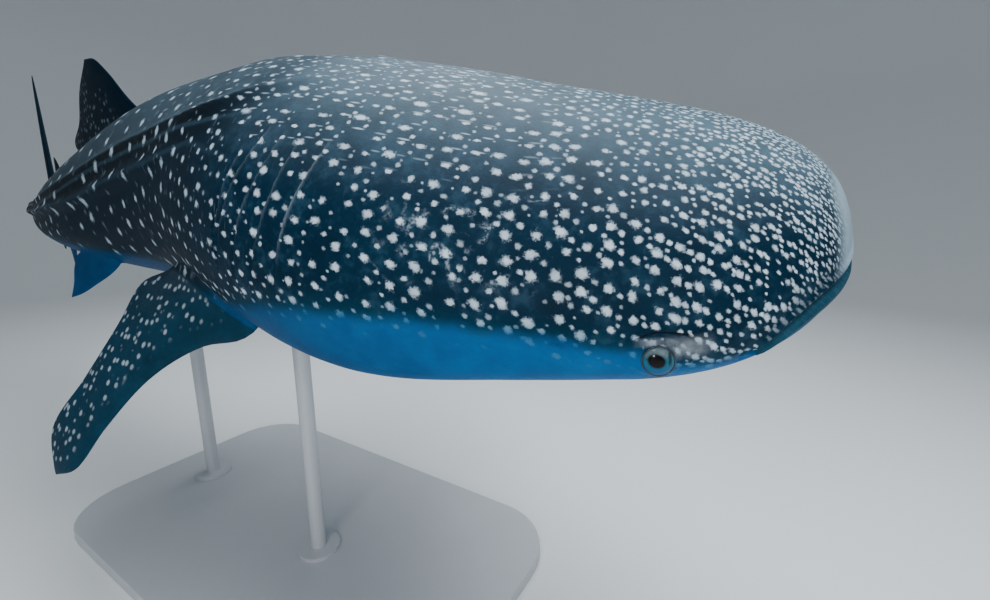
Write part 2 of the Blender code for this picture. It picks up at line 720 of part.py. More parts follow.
def paired_fins(made):
    for side in ("left", "right"):
        place = paired_plane(PECTORAL_ROOT, PECTORAL_DROOP, side, FIN_BEND)
        fin = fin_solid(
            "pectoral_fin_" + side,
            PECTORAL_FRONT,
            PECTORAL_REAR,
            PECTORAL_TIP,
            PECTORAL_THICK,
            place,
            made,
            13,
        )
        cut_root(fin)
        place = paired_plane(PELVIC_ROOT, PELVIC_DROOP, side, 0.0)
        fin = fin_solid("pelvic_fin_" + side, PELVIC_FRONT, PELVIC_REAR, PELVIC_TIP, PELVIC_THICK, place, made)
        cut_root(fin)


def stand_base(made):
    """Flat plate with round corners and an eased upper edge."""
    length, width, height = BASE_SIZE
    shape = bmesh.new()
    where = Matrix.Translation((0, 0, height / 2)) @ Matrix.Diagonal((length, width, height, 1.0))
    bmesh.ops.create_cube(shape, size=1.0, matrix=where)
    upright = [edge for edge in shape.edges if abs(edge.verts[0].co.z - edge.verts[1].co.z) > 0.5 * height]
    bmesh.ops.bevel(shape, geom=upright, offset=BASE_CORNER, segments=8, profile=0.5, affect="EDGES")
    top = [edge for edge in shape.edges if min(vert.co.z for vert in edge.verts) > height - 1e-6]
    bmesh.ops.bevel(shape, geom=top, offset=BASE_EDGE, segments=2, profile=0.5, affect="EDGES")
    finish_shading(object_from_bmesh("stand_base", shape, made))


def stand_rods(made):
    """Upright rods with a foot flange and a saddle that follows the belly."""
    for name, station in ROD_STATIONS.items():
        angles = np.linspace(200.0, 340.0, 57)
        belly = in_world(np.full(57, station), *skin_offset(np.full(57, station), angles))
        lowest = belly[np.argmin(belly[:, 2])]
        foot = BASE_SIZE[2] + GAP
        under = lowest[2] - SADDLE_BELOW
        profile = (
            (0.0, foot),
            (FLANGE_RADIUS, foot),
            (FLANGE_RADIUS, foot + FLANGE_HEIGHT),
            (ROD_RADIUS, foot + FLANGE_HEIGHT),
            (ROD_RADIUS, under - SADDLE_NECK),
            (SADDLE_RADIUS, under),
            (SADDLE_RADIUS, lowest[2] + SADDLE_ABOVE),
            (0.0, lowest[2] + SADDLE_ABOVE),
        )
        shape = bmesh.new()
        line = [shape.verts.new((lowest[0] + radius, lowest[1], height)) for radius, height in profile]
        edges = [shape.edges.new(pair) for pair in zip(line[:-1], line[1:])]
        bmesh.ops.spin(
            shape,
            geom=line + edges,
            axis=(0, 0, 1),
            cent=(lowest[0], lowest[1], 0),
            steps=20,
            angle=math.tau,
            use_merge=True,
        )
        bmesh.ops.remove_doubles(shape, verts=shape.verts, dist=0.00005)
        bmesh.ops.recalc_face_normals(shape, faces=shape.faces)
        rod = object_from_bmesh(name, shape, made)
        cut_root(rod)


def main():
    clear_scene()
    skin = material("skin", SKIN, 0.55)
    fin_skin = material("fin_skin", FIN_SKIN, 0.55)
    eye = material("eye", EYE_DARK, 0.08)
    metal = material("stand_metal", STAND_METAL, 0.45)
    head(skin)
    eyes(eye)
    gill_region(skin)
    finish_shading(body_length("trunk", TRUNK_STATIONS, ridged_columns, skin))
    finish_shading(body_length("tail_stock", STOCK_STATIONS, ridged_columns, skin))
    middle_fins(fin_skin)
    tail_lobes(fin_skin)
    paired_fins(fin_skin)
    stand_base(metal)
    stand_rods(metal)


main()
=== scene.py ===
"""Looks of the life-size whale shark on its plain display stand.

Metres, +Z up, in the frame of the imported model. Stations are fractions of the shark's
length from the snout; angles go round the body from the right side (0) over the back (90).
"""

import math

import bmesh
import bpy
import numpy as np
from bpy.props import FloatProperty, FloatVectorProperty, PointerProperty
from mathutils import Matrix, Vector, kdtree


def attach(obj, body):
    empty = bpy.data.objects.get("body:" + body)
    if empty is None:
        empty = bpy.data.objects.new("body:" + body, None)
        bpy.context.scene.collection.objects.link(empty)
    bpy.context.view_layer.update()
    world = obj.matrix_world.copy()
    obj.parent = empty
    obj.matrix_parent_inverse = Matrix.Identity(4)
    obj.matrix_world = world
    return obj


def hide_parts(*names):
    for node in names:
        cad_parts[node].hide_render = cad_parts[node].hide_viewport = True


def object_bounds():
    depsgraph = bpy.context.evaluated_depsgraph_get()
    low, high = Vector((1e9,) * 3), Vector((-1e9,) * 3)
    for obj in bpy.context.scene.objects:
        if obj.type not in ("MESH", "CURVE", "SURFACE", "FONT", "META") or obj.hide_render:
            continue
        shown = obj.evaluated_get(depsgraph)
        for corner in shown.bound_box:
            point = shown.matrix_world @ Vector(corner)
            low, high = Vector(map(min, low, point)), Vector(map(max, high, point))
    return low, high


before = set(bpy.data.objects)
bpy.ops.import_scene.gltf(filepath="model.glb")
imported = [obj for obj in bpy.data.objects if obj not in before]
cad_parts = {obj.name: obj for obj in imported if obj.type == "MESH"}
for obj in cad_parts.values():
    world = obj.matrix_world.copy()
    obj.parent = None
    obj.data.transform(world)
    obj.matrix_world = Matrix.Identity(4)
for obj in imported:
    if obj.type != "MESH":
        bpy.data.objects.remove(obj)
CAD_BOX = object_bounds()

bl_info = {
    "name": "Whale shark on a stand",
    "version": (1, 0, 0),
    "blender": (4, 5, 0),
    "location": "View3D > Sidebar > Whale Shark",
    "description": "Skin, eyes, stand finish and stage of a life-size whale shark",
    "category": "Object",
}

# Body. Sections: station, half width, height above and below the centre, centre over the spine
LENGTH = 6.5
SNOUT = np.array((2.05, 0.13, 1.60))
SECTIONS = np.array((
    (0.000, 0.0790, 0.0125, 0.0085, -0.0020),
    (0.004, 0.0790, 0.0190, 0.0130, -0.0020),
    (0.015, 0.0795, 0.0275, 0.0200, -0.0020),
    (0.035, 0.0802, 0.0365, 0.0266, -0.0020),
    (0.062, 0.0808, 0.0444, 0.0340, -0.0015),
    (0.110, 0.0857, 0.0556, 0.0461, 0.0000),
    (0.165, 0.0924, 0.0668, 0.0583, 0.0020),
    (0.230, 0.0856, 0.0763, 0.0631, 0.0030),
    (0.320, 0.0764, 0.0783, 0.0633, 0.0040),
    (0.420, 0.0650, 0.0766, 0.0576, 0.0060),
    (0.520, 0.0502, 0.0635, 0.0410, 0.0100),
    (0.620, 0.0340, 0.0472, 0.0268, 0.0160),
    (0.700, 0.0259, 0.0326, 0.0200, 0.0210),
    (0.760, 0.0221, 0.0225, 0.0152, 0.0260),
    (0.820, 0.0180, 0.0180, 0.0144, 0.0300),
    (0.850, 0.0090, 0.0165, 0.0135, 0.0310),
    (0.870, 0.0030, 0.0150, 0.0120, 0.0320),
))
SNOUT_CAP = 0.070
BACK_POWER = 1.95
BELLY_POWER = 2.2

# Pose: station, yaw toward +Y, nose down, roll of the right side down, in degrees
POSE = np.array((
    (0.00, 9.7, -0.9, 24.7),
    (0.10, 9.7, -0.9, 24.7),
    (0.165, 3.3, 1.7, 24.5),
    (0.25, -8.8, 4.9, 20.6),
    (0.35, -1.3, -2.0, 14.9),
    (0.45, 7.6, -8.8, 8.1),
    (0.55, 4.4, -7.5, 3.0),
    (0.65, -4.9, -2.5, 1.6),
    (0.75, -12.5, 1.6, 0.6),
    (0.85, -15.0, 2.9, 0.2),
    (1.05, -15.5, 3.1, 0.1),
))
SPINE_STEPS = 420
SPINE_END = 1.05
BODY_END = 0.869

# Skin: depth under the solids, room at the sides of their box, merging of doubles; steps of a spin
SKIN_DEPTH = 0.0006
BOX_EASE = 0.008
MERGE = 0.00002
SPIN_STEPS = 96

# Ridges of each flank: stations, angles, height, half angle, where it fades out; then the crest
# on each, and the swelling along the middle of the back
RIDGES = (
    ((0.160, 0.193, 0.236, 0.275, 0.335, 0.403, 0.465, 0.545, 0.700),
     (81.0, 76.0, 58.5, 49.5, 40.5, 33.5, 29.5, 27.0, 24.0), 0.0019, 3.6, 0.62),
    ((0.200, 0.244, 0.312, 0.389, 0.471, 0.547, 0.700),
     (60.0, 50.0, 38.0, 29.5, 24.5, 19.5, 16.0), 0.0013, 3.6, 0.58),
    ((0.247, 0.310, 0.384, 0.429, 0.491, 0.600, 0.820),
     (43.0, 29.0, 20.3, 16.1, 12.0, 11.5, 12.0), 0.0036, 4.5, 0.83),
)
RIDGE_SHARE = 0.8
CREST_SHARE = 0.45
CREST_SHIFT = 0.6
CREST_WIDTH = 2.4
BACK_SWELL = 0.0055
BACK_WIDTH = 4.0

# Mouth: angle of its line, width of the lower lip, and the swelling of both lips
MOUTH_LINE = np.array((
    (0.000, 6.0), (0.020, 6.6), (0.028, 0.0), (0.0355, -10.0), (0.050, -6.0), (0.080, 0.0),
    (0.160, 0.0), (0.900, 0.0),
))
LIP_WIDTH = np.array(((0.000, 0.046), (0.019, 0.043), (0.0274, 0.034), (0.036, 0.016)))
MOUTH_CORNER = 0.0360
UPPER_LIP = 0.0050
LOWER_LIP = 0.0090
CHIN_FOLD = 0.0040

# Eyes: place on the body, ring, lean of its plane in degrees, dome, where its lamp shows, brow
# and socket; then pupil and iris as shares of the ring, and the fold of skin round it
EYE_STATION = 0.0609
EYE_ANGLE = -1.9
EYE_RING = 0.0290
EYE_LEAN = (4.0, 20.0)
EYE_SHIFT = (-0.0024, -0.0020)
EYE_DOME = (0.0303, 0.0315, 0.0175, -0.0065)
CATCHLIGHT = (0.290, 0.173, 0.938)
BROW_HEIGHT = 0.0600
BROW_CURVE = 4.6
BROW_AHEAD = 0.010
SOCKET_DEPTH = 0.014

PUPIL_MIDDLE = (0.145, 0.160)
PUPIL_SIZE = (0.51, 0.43)
PUPIL_LEAN = (0.94, 0.34)
PUPIL_DARK = (0.0008, 0.0008, 0.0014)
IRIS_LOW = (0.002, 0.075, 0.180)
IRIS_HIGH = (0.012, 0.105, 0.160)
IRIS_GREY = (0.130, 0.150, 0.155)
IRIS_SMEAR = (0.003, 0.018, 0.024)
IRIS_LINE = (0.060, 0.150, 0.120)
IRIS_EDGE = (0.002, 0.010, 0.018)
FOLD_DARK = (0.002, 0.008, 0.014)
FOLD_LIGHT = (0.008, 0.026, 0.042)
FOLD_THICK = 0.0017
FOLD_OVAL = 1.04

# Spiracle and nostril: place on the body, radius and depth
HOLES = (((0.0883, 2.7), 0.0062, 0.011), ((0.016, 17.0), 0.0085, 0.008))

# Gills of each side, from the front: station, angles of both ends, slant, paleness of the edge
GILL_STATIONS = (0.1658, 0.1764, 0.1852, 0.1935, 0.2018)
GILL_TOPS = (53.0, 53.0, 53.0, 54.0, 45.0)
GILL_BOTTOMS = (-4.0, -2.0, 2.0, 8.0, 14.0)
GILL_SLANTS = (0.0135, 0.0125, 0.0140, 0.0160, 0.0075)
GILL_PALENESS = (1.0, 0.45, 0.40, 0.45, 0.35)
FLAP_HEIGHT = 0.0036
SLOT_DEPTH = 0.0055

# Creases of the cheek: angle, half width, depth
CREASES = ((48.6, 0.55, 0.0016), (44.5, 0.5, 0.0008))

# Where the dark side meets the pale belly, the snout's pale rim, and how far marks are measured
BELLY_LINE = np.array((
    (0.000, -14.0), (0.020, -12.0), (0.035, -16.0), (0.050, -11.0), (0.056, -7.0), (0.062, -3.0),
    (0.070, -0.5), (0.090, 2.0), (0.103, 4.2), (0.1175, 5.7), (0.132, 7.2), (0.150, 7.6),
    (0.1685, 5.5), (0.200, -3.0), (0.240, -18.0), (0.320, -28.0), (0.450, -32.0), (0.600, -33.0),
    (0.870, -30.0),
))
RIM_STATION = 0.0080
MARK_REACH = 0.4
FRONT_ROUNDING = 0.022

# Spot pattern: station, length and width of a cell, and radius of a large spot, in metres
SPOT_TABLE = np.array((
    (0.000, 0.0120, 0.0110, 0.0032),
    (0.010, 0.0165, 0.0155, 0.0042),
    (0.020, 0.0220, 0.0200, 0.0054),
    (0.035, 0.0280, 0.0260, 0.0068),
    (0.050, 0.0340, 0.0310, 0.0076),
    (0.065, 0.0390, 0.0360, 0.0081),
    (0.085, 0.0450, 0.0410, 0.0091),
    (0.105, 0.0500, 0.0450, 0.0096),
    (0.130, 0.0530, 0.0460, 0.0092),
    (0.170, 0.0550, 0.0470, 0.0088),
    (0.200, 0.0580, 0.0500, 0.0088),
    (0.235, 0.0800, 0.0600, 0.0108),
    (0.280, 0.1300, 0.0780, 0.0155),
    (0.330, 0.1850, 0.0920, 0.0185),
    (0.420, 0.2150, 0.1000, 0.0205),
    (0.600, 0.1900, 0.0800, 0.0180),
    (0.900, 0.1400, 0.0600, 0.0140),
))

# Fins: front and rear outline from the root outward and tip, as fractions of the length;
# then half thickness and flare of the root in metres, and rows and columns of faces
MIDDLE_FINS = (
    ("first_dorsal", ((0.440, 0.062), (0.450, 0.080), (0.463, 0.096), (0.480, 0.1205), (0.494, 0.1335)),
     ((0.556, 0.052), (0.578, 0.070), (0.590, 0.083), (0.565, 0.099), (0.545, 0.120)),
     (0.511, 0.1380), 0.034, 0.022, 40, 26),
    ("second_dorsal", ((0.655, 0.045), (0.668, 0.064), (0.681, 0.078)),
     ((0.694, 0.038), (0.708, 0.059), (0.697, 0.069)), (0.691, 0.083), 0.016, 0.010, 26, 18),
    ("anal", ((0.668, 0.002), (0.682, -0.016), (0.694, -0.030)),
     ((0.706, 0.008), (0.719, -0.008), (0.709, -0.021)), (0.704, -0.036), 0.014, 0.008, 22, 16),
    ("upper_lobe", ((0.795, 0.036), (0.822, 0.052), (0.862, 0.100), (0.898, 0.150), (0.922, 0.184)),
     ((0.884, 0.0310), (0.888, 0.060), (0.906, 0.095), (0.930, 0.140), (0.948, 0.178)),
     (0.940, 0.198), 0.026, 0.006, 54, 26),
    ("lower_lobe", ((0.795, 0.024), (0.818, 0.008), (0.838, -0.012), (0.852, -0.025)),
     ((0.884, 0.0320), (0.880, 0.012), (0.872, -0.008), (0.868, -0.022)),
     (0.861, -0.032), 0.026, 0.006, 30, 22),
)

# Fins of both sides, with the places of the root's ends, the droop in degrees and the bend
PAIRED_FINS = (
    ("pectoral",
     ((0.000, -0.030), (0.007, 0.010), (0.034, 0.029), (0.060, 0.062), (0.073, 0.100), (0.080, 0.130)),
     ((0.074, -0.030), (0.099, 0.006), (0.117, 0.023), (0.115, 0.050), (0.1165, 0.090),
      (0.1205, 0.127)),
     (0.097, 0.1435), 0.040, 0.030, 54, 32, ((0.232, -33.0), (0.308, -22.0)), 39.6, 0.05),
    ("pelvic", ((0.000, -0.014), (0.008, 0.008), (0.024, 0.024), (0.036, 0.034)),
     ((0.042, -0.014), (0.060, 0.006), (0.058, 0.014), (0.050, 0.028)),
     (0.046, 0.039), 0.016, 0.010, 24, 18, ((0.478, -48.0), (0.522, -40.0)), 62.0, 0.0),
)

# Skin of the fins: edge, factor that brings a section to its full thickness, thinning to the
# tip, and how far and how often the root is smoothed into the body
OUTLINE_STEPS = 120
EDGE_THICK = 0.0014
FOIL_PEAK = 2.598
TIP_THINNING = 0.72
ROOT_REACH = 0.030
ROOT_ROUNDS = 7

# Spots: spread of their sizes, softness of their edge, stretch of the large ones of the back,
# and scale and edge of those of the fins
SPOT_SIZES = (0.42, 0.78)
SPOT_EDGE = (0.42, 1.24)
BACK_SPOT_LONG = 0.20
BACK_SPOT_FLAT = 0.36
FIN_SPOT_SCALE = 26.0
FIN_SPOT_EDGE = (0.16, 0.36)

# Noises of the skin from coarse to fine: scale, detail and roughness
SKIN_NOISES = ((5.0, 3.0, 0.6), (16.0, 4.0, 0.6), (62.0, 2.0, 0.5), (150.0, 3.0, 0.65), (380.0, 2.0, 0.6))

# Camera and picture
CAMERA_PLACE = (1.905, -1.222, 1.639)
CAMERA_TURN = (78.0, 0.0, 31.34)
CAMERA_LENS = 16.37
CAMERA_SENSOR = 36.0
CAMERA_NEAR = 0.02

# Stage: flat part, bend and top of the floor, how far it lies under the stand, the sky, and
# the lights with place, aim, size, power and colour
FLOOR_FLAT = 9.0
FLOOR_BEND = 5.0
FLOOR_TOP = 9.0
FLOOR_SINK = 0.0008
SKY_COLOUR = (0.70, 0.78, 0.85, 1.0)
SKY_STRENGTH = 0.30
EYE_LIGHT_AWAY = 2.2
EYE_LIGHT = ((0.34, 0.34), 16.0, (1.0, 1.0, 1.0))
LIGHTS = (
    ("overhead", (1.2, 0.6, 6.0), (0.9, 0.0, 1.4), (7.0, 4.0), 520.0, (0.92, 0.97, 1.0)),
    ("front_soft", (4.6, -3.6, 3.2), (1.4, 0.0, 1.5), (2.6, 2.6), 90.0, (1.0, 0.99, 0.97)),
    ("side_soft", (1.35, -3.2, 3.6), (1.7, -0.4, 1.6), (0.8, 0.8), 30.0, (1.0, 1.0, 1.0)),
)

FLESH_NODES = (
    "head", "gill_region", "trunk", "tail_stock", "first_dorsal_fin", "second_dorsal_fin",
    "anal_fin", "caudal_upper_lobe", "caudal_lower_lobe", "pectoral_fin_left",
    "pectoral_fin_right", "pelvic_fin_left", "pelvic_fin_right",
)
STAND_NODES = ("stand_base", "stand_rod_front", "stand_rod_rear")


def smooth_table(places, values, wanted):
    """Cubic curve through the values at the given places."""
    places = np.asarray(places, dtype=float)
    values = np.asarray(values, dtype=float)
    slopes = np.gradient(values, places)
    wanted = np.asarray(wanted, dtype=float)
    low = np.clip(np.searchsorted(places, wanted, side="right") - 1, 0, len(places) - 2)
    width = places[low + 1] - places[low]
    t = (wanted - places[low]) / width
    start = (2 * t**3 - 3 * t**2 + 1) * values[low] + (t**3 - 2 * t**2 + t) * width * slopes[low]
    end = (3 * t**2 - 2 * t**3) * values[low + 1] + (t**3 - t**2) * width * slopes[low + 1]
    return start + end


def smooth_points(points, count):
    """Evenly spaced points on a smooth curve through the given ones."""
    given = np.array(points, dtype=float)
    run = np.concatenate(((0.0,), np.cumsum(np.linalg.norm(np.diff(given, axis=0), axis=1))))
    wanted = np.linspace(0.0, run[-1], count)
    return np.stack([smooth_table(run, given[:, i], wanted) for i in range(given.shape[1])], axis=1)


def ease(value, start, width):
    """Smooth step from 0 to 1 over the width."""
    t = np.clip((value - start) / width, 0.0, 1.0)
    return t * t * (3 - 2 * t)


def bump_at(value, centre, width):
    """Bell of height 1 round the centre."""
    return np.exp(-(((value - centre) / width) ** 2))


def spine_frames():
    """Places and directions along the spine, whose snout is at the origin."""
    stations = np.linspace(0.0, SPINE_END, SPINE_STEPS + 1)
    yaw, dip, roll = (np.radians(smooth_table(POSE[:, 0], POSE[:, i], stations)) for i in (1, 2, 3))
    forward = np.stack((np.cos(yaw) * np.cos(dip), np.sin(yaw) * np.cos(dip), -np.sin(dip)), axis=1)
    step = stations[1] - stations[0]
    place = np.zeros_like(forward)
    place[1:] = -np.cumsum((forward[1:] + forward[:-1]) / 2 * step, axis=0)
    left = np.cross((0.0, 0.0, 1.0), forward)
    left /= np.linalg.norm(left, axis=1)[:, None]
    up = np.cross(forward, left)
    cosine = np.cos(roll)[:, None]
    sine = np.sin(roll)[:, None]
    return stations, place, forward, left * cosine + up * sine, up * cosine - left * sine


STATIONS, SPINE, FORWARD, LEFT, UP = spine_frames()


def along_spine(table, station):
    """Place or direction of the spine at each station."""
    station = np.asarray(station, dtype=float)
    return np.stack([np.interp(station, STATIONS, table[:, i]) for i in range(3)], axis=-1)


def in_world(station, leftward, upward):
    """Places beside the spine, in metres of the frame."""
    beside = along_spine(LEFT, station) * np.asarray(leftward)[..., None]
    above = along_spine(UP, station) * np.asarray(upward)[..., None]
    return SNOUT + LENGTH * (along_spine(SPINE, station) + beside + above)


def section_value(column, station):
    return smooth_table(np.sqrt(SECTIONS[:, 0]), SECTIONS[:, column], np.sqrt(np.maximum(station, 0.0)))


def side_angle(angle):
    """Angle as seen on the right side, for both sides."""
    return np.where(np.cos(np.radians(angle)) >= 0, angle, 180.0 - angle)


def skin_offset(station, angle):
    """Leftward and upward offset of the plain body from its spine."""
    width, above, below, centre = (section_value(i, station) for i in (1, 2, 3, 4))
    cap = np.clip(1 - station / SNOUT_CAP, 0.0, 1.0)
    width = width * np.sqrt(1 - cap * cap)
    cosine = np.cos(np.radians(angle))
    sine = np.sin(np.radians(angle))
    height = np.where(sine >= 0, above, below)
    power = np.where(sine >= 0, BACK_POWER, BELLY_POWER)
    across = -width * np.sign(cosine) * np.abs(cosine) ** (2 / power)
    upward = height * np.sign(sine) * np.abs(sine) ** (2 / power)
    return across, centre + upward


def skin_at(station, angle):
    return in_world(station, *skin_offset(station, angle))


def skin_normal(station, angle):
    """Outward unit normals, and metres for a degree round the body."""
    step = 0.0008
    ahead = np.maximum(station, 0.0012)
    turned = np.where(np.abs(np.sin(np.radians(angle))) < 0.004, angle + 0.3, angle)
    along = skin_at(ahead + step, turned) - skin_at(ahead - step, turned)
    around = skin_at(ahead, turned + 0.2) - skin_at(ahead, turned - 0.2)
    normal = np.cross(around, along)
    normal /= np.linalg.norm(normal, axis=-1, keepdims=True) + 1e-12
    return normal, np.linalg.norm(around, axis=-1) / 0.4


def ridge_line(ridge, station):
    """Angle of a ridge at each station."""
    return np.interp(station, ridge[0], ridge[1])


def body_rows():
    """Stations of the rings: close together at the mouth, the eye and the gills."""
    snout = np.linspace(0.0, math.sqrt(0.050), 52) ** 2
    parts = (
        snout[:-1],
        np.linspace(0.050, 0.072, 44, endpoint=False),
        np.linspace(0.072, 0.162, 72, endpoint=False),
        np.linspace(0.162, 0.224, 96, endpoint=False),
        np.linspace(0.224, 0.330, 42, endpoint=False),
        np.linspace(0.330, 0.600, 60, endpoint=False),
        np.linspace(0.600, BODY_END, 54),
    )
    return np.concatenate(parts)


def body_columns(line):
    """Angles of one half ring, belly to back, close together along the mouth line."""
    steps = (-90, -82, -74, -66, -58, -50, -43, -36.5, -31, -26.5, -23, -20)
    near = (
        -17.5, -15.5, -13.8, -12.2, -10.8, -9.5, -8.4, -7.4, -6.4, -5.5, -4.6, -3.8, -3.1, -2.5, -2.0,
        -1.55, -1.15, -0.8, -0.5, -0.2, 0.1, 0.4, 0.75, 1.15, 1.6, 2.15, 2.8, 3.5, 4.2, 4.9, 5.6, 6.3,
        7.0, 7.7, 8.4, 9.1, 9.9, 10.7, 11.6,
    )
    above = np.linspace(13.0, 90.0, 37)
    shift = [line + step for step in near]
    low = [step + (line if step > -30 else 0) * (step + 40) / 20 * (step > -40) for step in steps]
    high = [step + line * max(0.0, 1 - (step - 13.0) / 14.0) for step in above]
    right = low + shift + high
    return np.array(right + [180.0 - angle for angle in reversed(right[:-1])])


def gill_lines(station, side):
    """Metres behind the nearest gill line for each point, and how far down the gill it counts."""
    behind = np.full(station.shape, -9.0)
    strength = np.zeros(station.shape)
    pale = np.zeros(station.shape)
    gills = zip(GILL_STATIONS, GILL_TOPS, GILL_BOTTOMS, GILL_SLANTS, GILL_PALENESS)
    for start, top, bottom, slant, paleness in gills:
        share = (top - side) / (top - bottom)
        wave = 0.00035 * np.sin(share * 9.0 + start * 900.0)
        line = start + slant * share + wave
        gap = (station - line) * LENGTH
        inside = ease(share, -0.04, 0.08) * (1 - ease(share, 0.95, 0.09))
        near = np.abs(gap) < np.abs(behind)
        behind = np.where(near, gap, behind)
        strength = np.where(near, inside, strength)
        pale = np.where(near, inside * paleness, pale)
    return behind, strength, pale


def across_mouth(station, side, degree):
    """Metres above the mouth line, and how far the mouth counts there."""
    line = smooth_table(MOUTH_LINE[:, 0], MOUTH_LINE[:, 1], station)
    return (side - line) * degree, 1 - ease(station, MOUTH_CORNER - 0.0035, 0.0045)


def raised(station, angle, place, degree, sizes):
    """Height of the features over the plain body, in metres."""
    side = side_angle(angle)
    height = np.full(station.shape, -SKIN_DEPTH)
    for ridge in RIDGES:
        line = ridge_line(ridge, station)
        broad = RIDGE_SHARE * bump_at(side, line, ridge[3])
        shape = broad + CREST_SHARE * bump_at(side, line - CREST_SHIFT, CREST_WIDTH)
        fade = ease(station, ridge[0][0] + 0.005, 0.075) * (1 - ease(station, ridge[4], 0.06))
        height = height + sizes.ridge_height * ridge[2] * LENGTH * shape * fade
    height = height + BACK_SWELL * bump_at(side, 90.0, BACK_WIDTH) * ease(station, 0.12, 0.12)
    height = height + mouth_relief(station, side, degree, sizes)
    behind, down, _ = gill_lines(station, side)
    flap = ease(behind, -0.040, 0.037) ** 2 * (behind < 0) * FLAP_HEIGHT
    slot = np.where(behind >= 0, 1 - ease(behind, 0.003, 0.013), 0.0) * -SLOT_DEPTH
    height = height + (flap + slot) * down * (0.25 + 0.75 * ease(side, 4.0, 20.0))
    for centre, width, depth in CREASES:
        crease = bump_at(side, centre + 1.2 * np.sin(station * 60.0), width)
        height = height - depth * crease * ease(station, 0.118, 0.02) * (1 - ease(station, 0.185, 0.02))
    for hand in ("right", "left"):
        height = height + eye_relief(place, hand)
        for spot, size, depth in HOLES:
            hole = np.linalg.norm(place - np.array(skin_point(*spot, hand)[0]), axis=-1)
            height = height - depth * bump_at(hole, 0.0, size)
            height = height + 0.0016 * bump_at(hole, 1.9 * size, 0.5 * size)
    return height


def mouth_relief(station, side, degree, sizes):
    """Groove of the mouth between its two lips, and the fold behind its corner."""
    across, counts = across_mouth(station, side, degree)
    lip = across / np.interp(station, LIP_WIDTH[:, 0], LIP_WIDTH[:, 1])
    groove = np.where(across > 0, bump_at(across, 0.0, 0.0032), bump_at(across, 0.0, 0.0075))
    mouth = UPPER_LIP * bump_at(across, 0.011, 0.008) + LOWER_LIP * bump_at(lip, -0.48, 0.36)
    mouth = mouth - CHIN_FOLD * bump_at(lip, -1.10, 0.13) - sizes.mouth_depth * groove
    corner = np.hypot((station - MOUTH_CORNER) * LENGTH - 0.004, across)
    fold = 0.005 * bump_at(corner, 0.012, 0.006) * (station > MOUTH_CORNER - 0.001)
    return mouth * counts - fold


def eye_relief(place, hand):
    """Level plane round an eye with its socket, and the brow above it."""
    x, y, far = beside_eye(place, hand)
    held = np.where(y > 0, 1 - ease(far, 0.034, 0.040), 1 - ease(far, 0.028, 0.022))
    lean = np.tan(np.radians(EYE_LEAN[0])) * x + np.tan(np.radians(EYE_LEAN[1])) * y
    socket = SOCKET_DEPTH * (1 - ease(far, 0.0215, 0.0060))
    level = 0.0012 * bump_at(far, 0.032, 0.004) - lean * held - socket
    brow = y - brow_height(x)
    near = bump_at(x, -0.008, 0.055) * (far < 0.15)
    return level + 0.0050 * (bump_at(brow, 0.011, 0.010) - bump_at(brow, -0.001, 0.0038)) * near


def skin_point(station, angle, hand):
    """Place on the plain body of the given side, and its normal."""
    turned = np.array(angle if hand == "right" else 180.0 - angle)
    normal, _ = skin_normal(np.array(station), turned)
    return Vector(skin_at(np.array(station), turned)), Vector(normal)


def eye_plane(hand):
    """Middle of the eye on the skin, and directions towards the tail, up and outward."""
    skin, normal = skin_point(EYE_STATION, EYE_ANGLE, hand)
    up = Vector(along_spine(UP, EYE_STATION))
    up = (up - normal * up.dot(normal)).normalized()
    tail = up.cross(normal)
    if tail.dot(Vector(along_spine(SPINE, 0.2)) - Vector(along_spine(SPINE, 0.0))) < 0:
        tail = -tail
    return skin + tail * EYE_SHIFT[0] + up * EYE_SHIFT[1], tail, up, normal


def eye_axes(hand):
    """Middle of the eye's ring and its leaned axes: X towards the tail, Y up, Z outward."""
    middle, tail, up, normal = eye_plane(hand)
    out = normal + tail * math.tan(math.radians(EYE_LEAN[0])) + up * math.tan(math.radians(EYE_LEAN[1]))
    out.normalize()
    up = (up - out * up.dot(out)).normalized()
    tail = (tail - out * tail.dot(out) - up * tail.dot(up)).normalized()
    return middle, Matrix((tail, up, out)).transposed()


def beside_eye(place, hand):
    """Metres towards the tail and upward from an eye's middle, and the distance from it."""
    middle, tail, up, _ = eye_plane(hand)
    offset = place - np.array(middle)
    return offset @ np.array(tail), offset @ np.array(up), np.linalg.norm(offset, axis=-1)


def brow_height(x):
    """Height of the crease over an eye, x metres towards the tail."""
    return BROW_HEIGHT - BROW_CURVE * (x + BROW_AHEAD) ** 2


def mapped_grid(places):
    """Grid of faces whose points lie at the given rows and columns of places."""
    rows, columns = places.shape[:2]
    shape = bmesh.new()
    bmesh.ops.create_grid(shape, x_segments=columns - 1, y_segments=rows - 1, size=0.5)
    flat = np.array([vert.co[:2] for vert in shape.verts])
    column = np.rint((flat[:, 0] + 0.5) * (columns - 1)).astype(int)
    row = np.rint((flat[:, 1] + 0.5) * (rows - 1)).astype(int)
    for vert, i, j in zip(shape.verts, row, column):
        vert.co = places[i, j]
    return shape


def closed(shape):
    """Merge doubles, fill the open ends and point the faces outwards."""
    bmesh.ops.remove_doubles(shape, verts=shape.verts, dist=MERGE)
    bmesh.ops.dissolve_degenerate(shape, edges=shape.edges, dist=MERGE / 2)
    rim = [edge for edge in shape.edges if edge.is_boundary]
    bmesh.ops.holes_fill(shape, edges=rim, sides=0)
    bmesh.ops.recalc_face_normals(shape, faces=shape.faces)
    return shape


def object_from(shape, name):
    mesh = bpy.data.meshes.new(name)
    shape.to_mesh(mesh)
    shape.free()
    mesh.shade_smooth()
    item = bpy.data.objects.new(name, mesh)
    bpy.context.scene.collection.objects.link(item)
    return item


